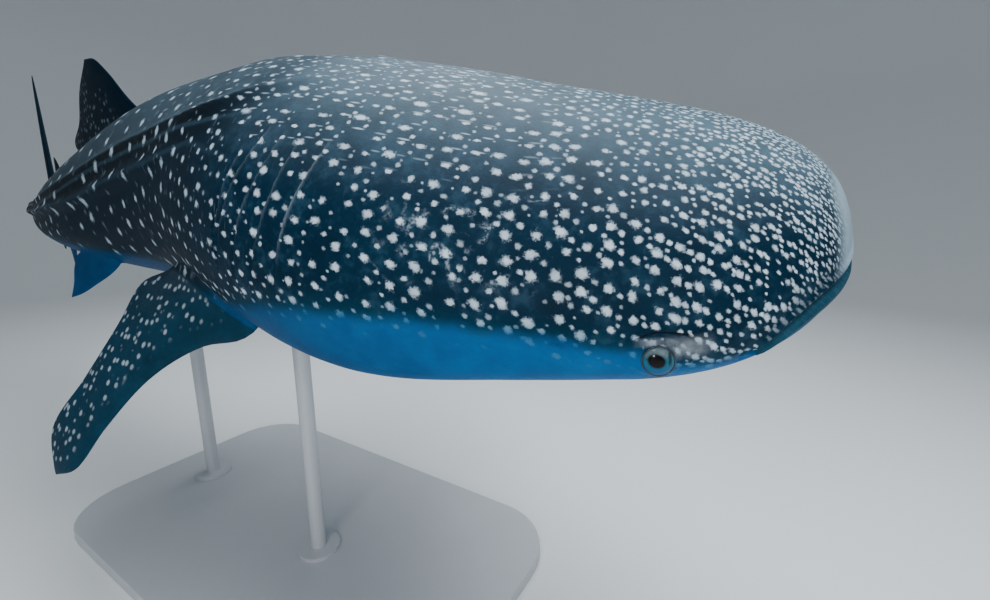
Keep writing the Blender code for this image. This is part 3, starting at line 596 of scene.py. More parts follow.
def body_grid(sizes):
    """Places of the body's skin with all its features, and what the pattern needs there."""
    rows = body_rows()
    lines = smooth_table(MOUTH_LINE[:, 0], MOUTH_LINE[:, 1], rows)
    angle = np.array([body_columns(line) for line in lines])
    station = np.repeat(rows[:, None], angle.shape[1], axis=1)
    plain = skin_at(station, angle)
    normal, degree = skin_normal(station, angle)
    height = raised(station, angle, plain, degree, sizes)
    height = np.where(station < 0.0004, 0.0, height)
    sine = np.sin(np.radians(angle))
    drawn_back = FRONT_ROUNDING * sine**2 * np.exp(-station / 0.010)
    places = plain + normal * height[..., None] - along_spine(FORWARD, station) * drawn_back[..., None]
    return station, angle, places, normal, degree


def spot_value(column, station):
    """Value of a column of the spot table at each station."""
    return smooth_table(SPOT_TABLE[:, 0], SPOT_TABLE[:, column], station)


def round_the_body(station, angle):
    """Metres round the body from the middle of the back, positive on the left side."""
    back = int(np.argmin(np.abs(angle[0] - 90.0)))
    plain = skin_at(station, angle)
    run = np.zeros(station.shape)
    run[:, 1:] = np.cumsum(np.linalg.norm(np.diff(plain, axis=1), axis=-1), axis=1)
    return run - run[:, back:back + 1]


def body_marks(station, angle, degree):
    """Pattern coordinates and masks of the body, a row of values for each point."""
    arc = round_the_body(station, angle)
    side = side_angle(angle)
    fine = np.linspace(0.0, 0.9, 1801)
    along = spot_value(1, fine)
    run = np.concatenate(((0.0,), np.cumsum(LENGTH * np.diff(fine) / ((along[1:] + along[:-1]) / 2))))
    pitch = [spot_value(column, station) for column in (1, 2, 3)]
    step = 0.002
    slope = (spot_value(2, station + step) - pitch[1]) / (step * LENGTH)
    row = arc / pitch[1]
    belly = np.interp(station, BELLY_LINE[:, 0], BELLY_LINE[:, 1])
    rim = np.interp(station, (0.0, RIM_STATION, 0.03, 1.0), (-0.060, 0.0, 0.140, 6.0))
    rim = rim + 0.02 * np.maximum(0.0, side - 60.0) / 30.0
    across, counts = across_mouth(station, side, degree)
    behind, _, pale = gill_lines(station, side)
    edge = bump_at(behind, -0.002, 0.0036) * pale * ease(side, 18.0, 14.0)
    plain = skin_at(station, angle)
    right, left = (beside_eye(plain, hand) for hand in ("right", "left"))
    eye = [np.where(right[2] < left[2], right[i], left[i]) for i in (0, 1)]
    eye = np.clip(eye, -MARK_REACH, MARK_REACH)
    over = [(side - ridge_line(ridge, station)) * degree for ridge in RIDGES]
    marks = {
        "over_ridges": np.clip(over, -MARK_REACH, MARK_REACH),
        "pattern": (np.interp(station, fine, run), row, row * slope),
        "pitch": pitch,
        "bounds": ((side - belly) * degree, rim, np.where(counts > 0.5, across, 0.5)),
        "place_on": (station, side / 90.0, edge),
        "by_eye": (*eye, eye[1] - brow_height(eye[0])),
    }
    return {name: np.stack(values, axis=-1) for name, values in marks.items()}


def fin_grid(front, rear, tip, thick, place, rows, columns, nearest, flare):
    """Places of a fin's skin, thicker where it grows out of the body."""
    edges = [smooth_points((*line, tip), OUTLINE_STEPS) for line in (front, rear)]
    steps = np.arange(OUTLINE_STEPS)
    shares = np.sin(np.linspace(0.0, math.pi / 2, rows))
    chord = 0.5 - 0.5 * np.cos(np.linspace(0.0, math.pi, columns))
    ring = [(c, 1.0) for c in chord[::-1]] + [(c, -1.0) for c in chord[1:]] + [(1.0, 1.0)]
    places = np.zeros((rows, len(ring), 3))
    marks = np.zeros((rows, len(ring), 3))
    for i, share in enumerate(shares):
        there = share * steps[-1]
        start, end = (np.array([np.interp(there, steps, edge[:, k]) for k in (0, 1)]) for edge in edges)
        taper = thick * (1 - TIP_THINNING * share) * math.sqrt(max(1 - share**6, 0.0))
        for j, (c, hand) in enumerate(ring):
            outline = start + (end - start) * c
            half = taper * FOIL_PEAK * math.sqrt(c) * (1 - c) + EDGE_THICK * min(c * 8, 1.0) * (share < 1)
            clear = max(nearest(place(outline, 0.0, share)), 0.0)
            half += flare * math.exp(-clear / ROOT_REACH) * min(1.0, 4 * c, 6 * (1 - c) + 0.25)
            places[i, j] = place(outline, half * hand, share)
            marks[i, j] = (share, c, hand)
    return places, marks


def middle_place(outline, sideways, _share):
    """Place of a point of a fin in the middle plane."""
    return in_world(np.array(outline[0]), np.array(sideways / LENGTH), np.array(outline[1]))


def paired_place(root, droop, hand, bend):
    """Function that places the points of a fin of one side."""
    start, _ = skin_point(*root[0], hand)
    end, _ = skin_point(*root[1], hand)
    aft = (end - start).normalized()
    middle = (root[0][0] + root[1][0]) / 2
    up = Vector(along_spine(UP, middle))
    way = -1.0 if hand == "right" else 1.0
    out = Vector(along_spine(LEFT, middle)) * way
    turn = math.radians(droop)
    outward = out * math.cos(turn) - up * math.sin(turn)
    outward = (outward - aft * outward.dot(aft)).normalized()
    above = aft.cross(outward) * way
    if above.dot(up) < 0:
        above = -above

    def place(outline, sideways, share):
        lifted = sideways - bend * LENGTH * share * share * abs(outline[1])
        return start + LENGTH * (aft * float(outline[0]) + outward * float(outline[1])) + above * lifted

    return place


def fin_list():
    """Every fin with its place function in the place of what only the paired fins have."""
    fins = [(*fin, middle_place) for fin in MIDDLE_FINS]
    for hand in ("right", "left"):
        fins += [(*fin[:8], paired_place(*fin[8:10], hand, fin[10])) for fin in PAIRED_FINS]
    return fins


def tree_of(points):
    tree = kdtree.KDTree(len(points))
    for number, point in enumerate(points):
        tree.insert(point, number)
    tree.balance()
    return tree


def join_to_body(body, pieces):
    """Union of the body with its fins, as one closed skin."""
    group = bpy.data.collections.new("fins")
    bpy.context.scene.collection.children.link(group)
    for piece in pieces:
        bpy.context.scene.collection.objects.unlink(piece)
        group.objects.link(piece)
    change = body.modifiers.new("join", "BOOLEAN")
    change.operation = "UNION"
    change.solver = "MANIFOLD"
    change.operand_type = "COLLECTION"
    change.collection = group
    whole = bpy.data.meshes.new_from_object(body.evaluated_get(bpy.context.evaluated_depsgraph_get()))
    body.modifiers.clear()
    body.data = whole
    for piece in pieces:
        bpy.data.objects.remove(piece, do_unlink=True)
    bpy.data.collections.remove(group)


def soften_roots(mesh, fin_points, body_tree):
    """Smooth the skin where the fins grow out of it."""
    shape = bmesh.new()
    shape.from_mesh(mesh)
    shape.verts.ensure_lookup_table()
    fins = tree_of(fin_points)
    near = []
    for vert in shape.verts:
        to_fin = fins.find(vert.co)[2]
        to_body = body_tree.find(vert.co)[2]
        if max(to_fin, to_body) < ROOT_REACH:
            near.append(vert)
    for _ in range(ROOT_ROUNDS):
        bmesh.ops.smooth_vert(
            shape, verts=near, factor=0.5, use_axis_x=True, use_axis_y=True, use_axis_z=True,
        )
    bmesh.ops.recalc_face_normals(shape, faces=shape.faces)
    shape.to_mesh(mesh)
    shape.free()


def store(mesh, name, values):
    """Keep three values for each point, for the material to read."""
    layer = mesh.attributes.new(name, "FLOAT_VECTOR", "POINT")
    layer.data.foreach_set("vector", np.asarray(values, dtype=np.float32).ravel())


def nearest_values(tree, points, table, count=3):
    """Values at the nearest given points, weighted by closeness."""
    made = np.zeros((len(points), table.shape[1]))
    gaps = np.zeros(len(points))
    for number, point in enumerate(points):
        found = tree.find_n(point, count)
        gaps[number] = found[0][2]
        if found[0][2] < 1e-5:
            made[number] = table[found[0][1]]
            continue
        weights = np.array([1.0 / (hit[2] + 1e-6) for hit in found])
        made[number] = (table[[hit[1] for hit in found]] * weights[:, None]).sum(axis=0) / weights.sum()
    return made, gaps


def keep_inside(places):
    """Places near the sides of the solids' box eased in, so that none comes out of it."""
    low = np.array(CAD_BOX[0])
    high = np.array(CAD_BOX[1])
    over = np.maximum((places - high) / BOX_EASE + 1.0, 0.0)
    under = np.maximum((low - places) / BOX_EASE + 1.0, 0.0)
    places = np.where(over > 0, high - BOX_EASE * np.exp(-over), places)
    return np.where(under > 0, low + BOX_EASE * np.exp(-under), places)


def whole_skin(sizes):
    """One closed skin of the body and all its fins, with the values its pattern reads."""
    station, angle, places, normal, degree = body_grid(sizes)
    marks = body_marks(station, angle, degree)
    body = object_from(closed(mapped_grid(places)), "shark_skin")
    flat = places.reshape(-1, 3)
    outward = normal.reshape(-1, 3)
    body_tree = tree_of(flat)

    def clear_of_body(spot):
        where, number, _ = body_tree.find(spot)
        return float((Vector(spot) - where).dot(Vector(outward[number])))

    pieces = []
    fin_places = []
    fin_marks = []
    for name, front, rear, tip, thick, flare, rows, columns, place in fin_list():
        grid, values = fin_grid(front, rear, tip, thick, place, rows, columns, clear_of_body, flare)
        fin_places.append(grid.reshape(-1, 3))
        below = 1.0 if name in ("pectoral", "pelvic") else 0.0
        values[..., 2] = np.where(values[..., 2] < 0, below, 0.0)
        fin_marks.append(values.reshape(-1, 3))
        pieces.append(object_from(closed(mapped_grid(grid)), name))
    join_to_body(body, pieces)
    mesh = body.data
    fin_places = np.concatenate(fin_places)
    fin_marks = np.concatenate(fin_marks)
    before = np.array([vert.co for vert in mesh.vertices])
    names = list(marks)
    table = np.concatenate([marks[name].reshape(-1, 3) for name in names], axis=1)
    values, gaps = nearest_values(body_tree, before, table)
    fin_tree = tree_of(fin_places)
    on_fin, _ = nearest_values(fin_tree, before, fin_marks, 2)
    clear = np.array([clear_of_body(spot) for spot in before])
    growth = ease(np.maximum(clear, 0.0) + np.where(gaps < 1e-5, -1.0, 0.0), 0.004, 0.06)
    soften_roots(mesh, fin_places, body_tree)
    eased = keep_inside(np.array([vert.co for vert in mesh.vertices]))
    mesh.vertices.foreach_set("co", eased.astype(np.float32).ravel())
    mesh.update()
    for number, name in enumerate(names):
        store(mesh, name, values[:, 3 * number:3 * number + 3])
    store(mesh, "fin", np.stack((growth, on_fin[:, 1], on_fin[:, 2]), axis=-1))
    mesh.shade_smooth()
    return body


class Shade:
    """A socket whose sums and products add Math nodes."""

    def __init__(self, finish, socket):
        self.finish = finish
        self.socket = socket

    def math(self, operation, *others):
        """A Math node on this value and the others."""
        node = self.finish.node("ShaderNodeMath", {"operation": operation}, {})
        for number, value in enumerate((self, *others)):
            self.finish.feed(node.inputs[number], value)
        return Shade(self.finish, node.outputs[0])

    def flipped(self, operation, other):
        """A Math node on the other value and this one."""
        node = self.finish.node("ShaderNodeMath", {"operation": operation}, {})
        self.finish.feed(node.inputs[0], other)
        self.finish.feed(node.inputs[1], self)
        return Shade(self.finish, node.outputs[0])

    def __add__(self, other):
        return self.math("ADD", other)

    __radd__ = __add__

    def __sub__(self, other):
        return self.math("SUBTRACT", other)

    def __rsub__(self, other):
        return self.flipped("SUBTRACT", other)

    def __mul__(self, other):
        return self.math("MULTIPLY", other)

    __rmul__ = __mul__

    def __truediv__(self, other):
        return self.math("DIVIDE", other)

    def __rtruediv__(self, other):
        return self.flipped("DIVIDE", other)

    def __pow__(self, other):
        return self.math("POWER", other)

    def __abs__(self):
        return self.math("ABSOLUTE")

    def above(self, other):
        return self.math("GREATER_THAN", other)

    def odd(self):
        """1 where the whole part is odd, 0 where it is even."""
        return (self.math("FLOOR") * 0.5).math("FRACT") * 2.0

    def most(self, other):
        return self.math("MAXIMUM", other)

    def least(self, other):
        return self.math("MINIMUM", other)

    def ramp(self, start, end):
        """Smooth step from 0 at the start to 1 at the end."""
        settings = {"interpolation_type": "SMOOTHSTEP", "clamp": True}
        values = {"Value": self, "From Min": start, "From Max": end, "To Min": 0.0, "To Max": 1.0}
        return self.finish.read("ShaderNodeMapRange", settings, values, "Result")


class Finish:
    """A material built from nodes."""

    def __init__(self, name):
        self.material = bpy.data.materials.new(name)
        self.material.use_nodes = True
        self.tree = self.material.node_tree
        self.shader = self.tree.nodes["Principled BSDF"]
        self.coordinates = self.node("ShaderNodeTexCoord", {}, {})

    def feed(self, socket, value):
        """Link a value to the socket, or set the socket to it."""
        if isinstance(value, Shade):
            self.tree.links.new(value.socket, socket)
        elif socket.type == "RGBA" and len(value) == 3:
            socket.default_value = (*value, 1.0)
        else:
            socket.default_value = value

    def node(self, kind, settings, values):
        """A node with its settings made first, then its sockets fed."""
        made = self.tree.nodes.new(kind)
        for name, value in settings.items():
            setattr(made, name, value)
        for name, value in values.items():
            socket = made.inputs[name]
            if kind == "ShaderNodeMix":
                wanted = "VALUE" if name == "Factor" else "RGBA"
                socket = [item for item in made.inputs if item.name == name and item.type == wanted][0]
            self.feed(socket, value)
        return made

    def read(self, kind, settings, values, output=0):
        """One output of a new node."""
        return Shade(self, self.node(kind, settings, values).outputs[output])

    @property
    def place(self):
        return Shade(self, self.coordinates.outputs["Object"])

    def parts(self, vector):
        """The three numbers of a vector."""
        made = self.node("ShaderNodeSeparateXYZ", {}, {"Vector": vector})
        return [Shade(self, made.outputs[i]) for i in range(3)]

    def attribute(self, name):
        return self.parts(self.read("ShaderNodeAttribute", {"attribute_name": name}, {}, "Vector"))

    def join(self, x, y, z=0.0):
        return self.read("ShaderNodeCombineXYZ", {}, {"X": x, "Y": y, "Z": z})

    def noise(self, vector, scale, detail=2.0, roughness=0.5, distortion=0.0):
        values = {"Vector": vector, "Scale": scale, "Detail": detail, "Roughness": roughness}
        values["Distortion"] = distortion
        return self.read("ShaderNodeTexNoise", {}, values, "Fac")

    def mix(self, share, first, second):
        settings = {"data_type": "RGBA", "blend_type": "MIX", "clamp_factor": True}
        made = self.node("ShaderNodeMix", settings, {"Factor": share, "A": first, "B": second})
        return Shade(self, [item for item in made.outputs if item.type == "RGBA"][0])

    def lighten(self, colour, amount):
        """Colour times a value."""
        values = {"Vector": colour, "Scale": amount}
        return self.read("ShaderNodeVectorMath", {"operation": "SCALE"}, values, "Vector")

    def surface(self, colour, roughness, **constants):
        """Colour and roughness of the surface, and sockets of it that stay the same all over."""
        self.feed(self.shader.inputs["Base Color"], colour)
        self.feed(self.shader.inputs["Roughness"], roughness)
        for name, value in constants.items():
            self.shader.inputs[name.replace("_", " ")].default_value = value

    def bump(self, height, distance, strength=1.0):
        values = {"Height": height, "Distance": distance, "Strength": strength}
        self.feed(self.shader.inputs["Normal"], self.read("ShaderNodeBump", {}, values, "Normal"))


def spots(finish, grid, shift, looseness, radius, share, ragged, squash=(1.0, 1.0), turns=None, slant=1.0):
    """One layer of spots on the grid of cells: how much of a spot is here, and its lightness.

    Where turns is 1, large and small spots take turns along a row, with middling rows between.
    """
    (along, row, lean), (cell_along, cell_round, spot_radius) = grid
    u = along + shift[0]
    v = row + shift[1]
    settings = {"voronoi_dimensions": "2D", "feature": "F1"}
    values = {"Vector": finish.join(u, v), "Scale": 1.0, "Randomness": looseness}
    cell = finish.node("ShaderNodeTexVoronoi", settings, values)
    middle = finish.parts(Shade(finish, cell.outputs["Position"]))
    chance = finish.parts(Shade(finish, cell.outputs["Color"]))
    x = (u - middle[0]) * cell_along
    y = (v - middle[1]) * cell_round + lean * x * slant
    if turns is not None:
        x = x / (1.0 + turns * BACK_SPOT_LONG)
        y = y / (1.0 - turns * BACK_SPOT_FLAT)
    far = ((x / squash[0]) ** 2.0 + (y / squash[1]) ** 2.0) ** 0.5
    reach = spot_radius * radius * (chance[0] * SPOT_SIZES[0] + SPOT_SIZES[1]) * (ragged + 1.0)
    if turns is not None:
        odd_row = middle[1].odd()
        size = odd_row * 1.02 + (1.0 - odd_row) * (1.50 - middle[0].odd() * 0.80)
        reach = reach * (1.0 + turns * (size - 1.0))
    inside = 1.0 - (far / reach).ramp(*SPOT_EDGE)
    return inside * (1.0 - chance[1].above(share)), chance[2]


def band(value, inner, outer):
    """1 near 0, falling to 0 between the inner and the outer distance."""
    return 1.0 - abs(value).ramp(inner, outer)


def light_marks(finish, waves, station, side):
    """Rows of spots, and the same with the faint dashes, bars and curls among them."""
    _, cloud, blob, grain, speck = waves
    grid = (finish.attribute("pattern"), finish.attribute("pitch"))
    ragged = blob * 1.3 + grain * 1.5 + speck * 0.9
    rear = station.ramp(0.17, 0.26)
    back = side.ramp(0.50, 0.66) * station.ramp(0.075, 0.125)
    front = 1.0 - station.ramp(0.030, 0.080)
    fewer = 1.0 - rear * 0.75

    large, light = spots(finish, grid, (0.0, 0.0), 0.38, 1.0, 0.95, ragged, turns=back)
    made = large * (light * 0.24 + 0.76) * (0.90 + cloud * 0.5 + grain * 0.35)
    between, light = spots(finish, grid, (0.5, 0.5), 0.38, front * 0.16 + 0.62, 0.80, ragged)
    made = made.most(between * (light * 0.40 + front * 0.30 + 0.40) * fewer)
    share = front * 0.3 + 0.62
    small, light = spots(finish, grid, (0.5, 20.0), 0.34, front * 0.16 + 0.42, share, ragged)
    made = made.most(small * (light * 0.34 + front * 0.3 + 0.26) * fewer)

    rough = ragged * 0.3
    dash, light = spots(finish, grid, (0.2, 0.75), 0.35, 0.62, 0.70, rough, (2.5, 0.50), slant=0.0)
    faint = made.most(dash * (light * 0.30 + 0.26) * back)
    bar, _ = spots(finish, grid, (40.5, 0.5), 0.55, 0.34, 0.40, ragged * 0.5, (0.42, 4.0))
    wander = finish.noise(finish.place, 9.5, 1.0, 0.4, 0.5)
    curl = band(wander - 0.52, 0.000, 0.046) * (cloud + 0.03).ramp(0.0, 0.10)
    curl = curl * station.ramp(0.080, 0.095) * (1.0 - station.ramp(0.120, 0.150))
    curl = curl * side.ramp(0.20, 0.30) * (1.0 - side.ramp(0.46, 0.56)) * (grain + 0.10).ramp(0.0, 0.22)
    return made, faint.most(bar * 0.22 * rear).most(curl * 0.34)


def marks_of_fins(finish, waves, station, fin, chord):
    """Small spots of the fins, fainter on those behind."""
    coarse, _, blob, grain, speck = waves
    ragged = blob * 1.3 + grain * 1.5 + speck * 0.9
    values = {"Vector": finish.place, "Scale": FIN_SPOT_SCALE, "Randomness": 0.7}
    settings = {"voronoi_dimensions": "3D", "feature": "F1"}
    far = finish.read("ShaderNodeTexVoronoi", settings, values, "Distance")
    made = (1.0 - (far * (1.0 - ragged * 0.4)).ramp(*FIN_SPOT_EDGE)) * fin.ramp(0.3, 0.9)
    made = made * chord.ramp(0.14, 0.30) * (coarse * 0.5 + 0.51)
    return made * (1.0 - station.ramp(0.42, 0.50) * 0.7)


def dark_side(finish, colours, waves, station, side, fin, near_belly):
    """Colour between the spots, banded between the ridges behind, with painted light on the back, painted
    shadow under the first ridge and painted highlights along the others.
    """
    coarse, cloud, blob, grain, _ = waves
    over_first, over_second, over_third = finish.attribute("over_ridges")
    behind = station.ramp(0.185, 0.250)
    body_only = 1.0 - fin.ramp(0.0, 0.4)
    # Painted light: the back, and behind the gills the side above the first ridge, are painted lighter as
    # if lit from above; the pectoral fins take some of this painted light too.
    lit = over_first.ramp(-0.005, 0.012) * (0.80 - station.ramp(0.30, 0.60) * 0.35)
    top = (side.ramp(0.40, 0.95) * (1.0 - behind)).most(lit * behind) * body_only
    top = top.most(fin.ramp(0.2, 0.6) * (1.0 - station.ramp(0.30, 0.40)) * 0.34)
    dark = finish.mix(top, colours.dark_skin, colours.lit_back)
    # Painted shadow under the first ridge behind the gills; the flank there is also made darker overall.
    shadow_under_ridge = (1.0 - over_first.ramp(-0.006, 0.002)) * over_first.ramp(-0.16, -0.03)
    dark = finish.lighten(dark, 1.0 - (shadow_under_ridge * 0.35 + 0.35) * behind * body_only)
    # Painted highlight: a lighter line along the crests of the second and third ridges behind the gills.
    crest = band(over_second, 0.003, 0.014).most(band(over_third, 0.003, 0.016) * 0.6) * behind
    crest = crest * body_only * (1.0 - station.ramp(0.55, 0.65))
    dark = finish.mix(crest * 0.28, dark, colours.haze_and_crest_highlight)
    # Painted shade: the flank just over the belly takes the belly's painted blue shade.
    dark = finish.mix(near_belly * 0.75, dark, colours.lower_flank_in_blue_shade)
    mottled = cloud * 0.9 + coarse * 0.6 + grain * 0.5 + 1.0
    dark = finish.lighten(dark, mottled * (1.0 - fin.ramp(0.1, 0.6) * station.ramp(0.38, 0.44) * 0.5))
    haze = (cloud * 0.6 + blob * 0.4).ramp(-0.02, 0.16) * 0.20 * (1.0 - station.ramp(0.17, 0.26))
    return finish.mix(haze, dark, colours.haze_and_crest_highlight), mottled


def skin_finish(colours):
    """Slate skin with pale spots, pale lips, and a belly painted blue as pale skin in shade."""
    finish = Finish("whale_shark_skin")
    waves = [finish.noise(finish.place, *values) - 0.5 for values in SKIN_NOISES]
    coarse, cloud, blob, grain, speck = waves
    belly_gap, rim_gap, mouth_gap = finish.attribute("bounds")
    station, side, gill_edge = finish.attribute("place_on")
    fin, fin_chord, under = finish.attribute("fin")
    eye_x, eye_y, brow = finish.attribute("by_eye")
    raised_marks, light_spots = light_marks(finish, waves, station, side)
    fin_spots = marks_of_fins(finish, waves, station, fin, fin_chord)

    # Where the dark side ends, with spots a little way past it
    behind = station.ramp(0.185, 0.250)
    away = belly_gap + coarse * 0.05 + cloud * 0.045 + blob * 0.012
    near_belly = 1.0 - away.ramp(0.004, 0.075)
    upper = (away - light_spots * near_belly * 0.012).ramp(-0.014, 0.034)
    upper = upper.most(light_spots * away.ramp(-0.045, -0.005) * 0.50 * (1.0 - behind))
    dark, mottled = dark_side(finish, colours, waves, station, side, fin, near_belly)

    # Spots, fainter on the lips, and the pale skin over the eye
    lips = 1.0 - (rim_gap + cloud * 0.03).ramp(-0.010, 0.030)
    calm = (1.0 - lips) * mouth_gap.ramp(0.012, 0.070) * 0.75 + 0.25
    # Painted shade: spots near the belly are painted darker and bluer, as in its shade; those behind the
    # gills are mixed a little towards the same colour.
    pale = (near_belly * 0.90).most(behind * 0.22)
    pale = finish.mix(pale, colours.spot_skin, colours.spots_in_blue_shade)
    marked = finish.mix(light_spots * (1.0 - fin.ramp(0.0, 0.35)) * calm, dark, pale)
    marked = finish.mix(fin_spots * (1.0 - under), marked, colours.spot_skin)
    patch = band(eye_x + 0.052, 0.012, 0.052) * band(eye_y - 0.026, 0.008, 0.030)
    patch = patch.most(band(eye_x, 0.020, 0.050) * band(eye_y - 0.036, 0.004, 0.014) * 0.8)
    marked = finish.mix(patch * (blob * 0.9 + grain * 0.5 + 0.45), marked, colours.brow_skin)

    # Belly, also over both sides of the pelvic fins: pale skin painted blue as in shade, darker behind the
    # head
    belly = (cloud * 0.6 + coarse * 0.4).ramp(-0.15, 0.15)
    belly = finish.mix(belly, colours.belly_in_blue_shade, colours.belly_patches_in_blue_shade)
    belly = finish.lighten(belly, 1.0 - station.ramp(0.09, 0.22) * 0.45)
    pelvic = station.ramp(0.40, 0.44) * (1.0 - station.ramp(0.70, 0.75))
    pelvic = pelvic * (1.0 - belly_gap.ramp(-0.02, 0.03))
    on_fin = fin.ramp(0.1, 0.5) * (1.0 - under) * (1.0 - pelvic)
    marked = finish.mix(upper.most(on_fin), belly, marked)

    # Painted shadow in the crease over the eye, lips, painted shade in the mouth line, and the pale edges
    # of the gills
    crease = band(brow + 0.001, 0.0008, 0.0045) * band(eye_x + 0.010, 0.035, 0.062)
    marked = finish.mix(crease, marked, colours.crease_and_slit_shade)
    marked = finish.mix(lips * mouth_gap.ramp(-0.01, 0.012) * 0.85, marked, colours.lip_skin)
    strip = (1.0 - mouth_gap.ramp(-0.006, -0.001)) * mouth_gap.ramp(-0.060, -0.040)
    lower = finish.mix(cloud * 0.5 + 0.25, colours.lower_lip_skin, colours.haze_and_crest_highlight)
    marked = finish.mix(strip * 0.92, marked, finish.lighten(lower, mottled))
    # Painted shade in the slit of the mouth
    marked = finish.mix(band(mouth_gap + 0.0005, 0.0022, 0.0055), marked, colours.crease_and_slit_shade)
    marked = finish.mix(gill_edge * (coarse + 0.5) * 0.46, marked, colours.spot_skin)

    rough = (grain * 0.18 + cloud * 0.12 + 0.50).least(0.9)
    finish.surface(marked, rough, Coat_Roughness=0.35, IOR=1.33, Specular_IOR_Level=0.08)
    finish.feed(finish.shader.inputs["Coat Weight"], 0.015 + cloud * 0.02)
    fine_grain = finish.noise(finish.place, 700.0, 2.0, 0.6)
    height = grain * 0.40 + speck * 0.28 + fine_grain * 0.12 + cloud * 0.7 + raised_marks * 0.18
    finish.bump(height, 0.0030, 0.70)
    return finish.material


def spun(shape, profile, merge):
    """Spin the profile once round the Z axis."""
    bmesh.ops.spin(
        shape, geom=profile, axis=(0, 0, 1), cent=(0, 0, 0), steps=SPIN_STEPS, angle=math.tau,
        use_merge=True,
    )
    bmesh.ops.remove_doubles(shape, verts=shape.verts, dist=merge)
    bmesh.ops.recalc_face_normals(shape, faces=shape.faces)


def eye_globe(hand):
    """Low dome of an eye, with each point's place on it stored for the iris."""
    middle, turn = eye_axes(hand)
    shape = bmesh.new()
    bmesh.ops.create_uvsphere(shape, u_segments=72, v_segments=48, radius=1.0)
    look = []
    for vert in shape.verts:
        local = vert.co * Vector(EYE_DOME[:3]) + Vector((0.0, 0.0, EYE_DOME[3]))
        look.append(local / EYE_RING)
        vert.co = middle + turn @ local
    bmesh.ops.recalc_face_normals(shape, faces=shape.faces)
    item = object_from(shape, "eye_globe_" + hand)
    store(item.data, "look", look)
    return item


def eye_rim(hand):
    """Thin dark fold of skin round the eye, spun from a small rounded profile."""
    middle, turn = eye_axes(hand)
    shape = bmesh.new()
    start = Matrix.Translation((EYE_RING, 0, 0)) @ Matrix.Rotation(math.radians(90), 4, "X")
    circle = bmesh.ops.create_circle(shape, segments=12, radius=FOLD_THICK, matrix=start)
    edges = list({edge for vert in circle["verts"] for edge in vert.link_edges})
    spun(shape, circle["verts"] + edges, 0.00005)
    for vert in shape.verts:
        around = math.atan2(vert.co.y, vert.co.x)
        grow = 1.0 + 0.012 * math.sin(2 * around + 0.6) + 0.006 * math.sin(5 * around + 1.0)
        lift = 0.0004 * math.sin(3 * around)
        local = Vector((vert.co.x * grow, vert.co.y * grow * FOLD_OVAL, vert.co.z + lift))
        vert.co = middle + turn @ local
    return object_from(shape, "eye_rim_" + hand)


def eye_finish():
    """Blue iris, greyer above, round a black oval pupil, under a wet cornea."""
    finish = Finish("shark_eye")
    x, y, z = finish.attribute("look")
    flat = finish.join(x, y, z)
    wave = finish.noise(flat, 5.0, 3.0)
    cloud = finish.noise(flat, 6.0, 3.0, 0.6, 0.6)
    fleck = finish.noise(flat, 24.0, 3.0, 0.6)
    pupil_x = x - PUPIL_MIDDLE[0]
    pupil_y = y - PUPIL_MIDDLE[1]
    long_way = (pupil_x * PUPIL_LEAN[0] + pupil_y * PUPIL_LEAN[1]) / PUPIL_SIZE[0]
    short_way = (pupil_y * PUPIL_LEAN[0] - pupil_x * PUPIL_LEAN[1]) / PUPIL_SIZE[1]
    far = (long_way ** 2.0 + short_way ** 2.0) ** 0.5 + (wave - 0.5) * 0.10
    outer = (x ** 2.0 + (y / FOLD_OVAL) ** 2.0) ** 0.5
    iris = finish.mix(y.ramp(-0.55, 0.10), IRIS_LOW, IRIS_HIGH)
    grey = y.ramp(0.15, 0.65) * (cloud * 0.9 + fleck * 0.5 - 0.05)
    iris = finish.mix(grey, iris, IRIS_GREY)
    iris = finish.lighten(iris, 0.65 + cloud * 0.5 + fleck * 0.2)
    smear = band(x + 0.66 + (wave - 0.5) * 0.15, 0.03, 0.15)
    smear = smear * y.ramp(-0.30, 0.00) * (1.0 - y.ramp(0.65, 0.85))
    iris = finish.mix(smear * 0.85, iris, IRIS_SMEAR)
    line = band(x + 0.86, 0.01, 0.05) * band(y - 0.15, 0.20, 0.50)
    iris = finish.mix(line * 0.6, iris, IRIS_LINE)
    iris = finish.mix(1.0 - far.ramp(1.02, 1.35), iris, finish.lighten(iris, 0.45))
    iris = finish.mix(outer.ramp(0.90, 0.99), iris, IRIS_EDGE)
    colour = finish.mix(1.0 - far.ramp(0.96, 1.04), iris, PUPIL_DARK)
    rough = 0.30 + fleck * 0.10
    finish.surface(colour, rough, Specular_IOR_Level=0.05, Coat_Roughness=0.02, Coat_IOR=1.22)
    finish.feed(finish.shader.inputs["Coat Weight"], 1.0 - fleck * 0.02)
    finish.bump(fleck + cloud * 0.5, 0.0003, 0.3)
    return finish.material


def rim_finish():
    """Wet dark skin of the thin fold round an eye."""
    finish = Finish("eye_rim_skin")
    cloud = finish.noise(finish.place, 60.0, 3.0, 0.6)
    grain = finish.noise(finish.place, 260.0, 2.0, 0.6)
    dark = finish.mix(cloud.ramp(0.35, 0.65), FOLD_DARK, FOLD_LIGHT)
    finish.surface(dark, 0.38 + (grain - 0.5) * 0.2, Coat_Weight=0.25)
    finish.bump(grain * 0.6 + cloud, 0.0008, 0.6)
    return finish.material


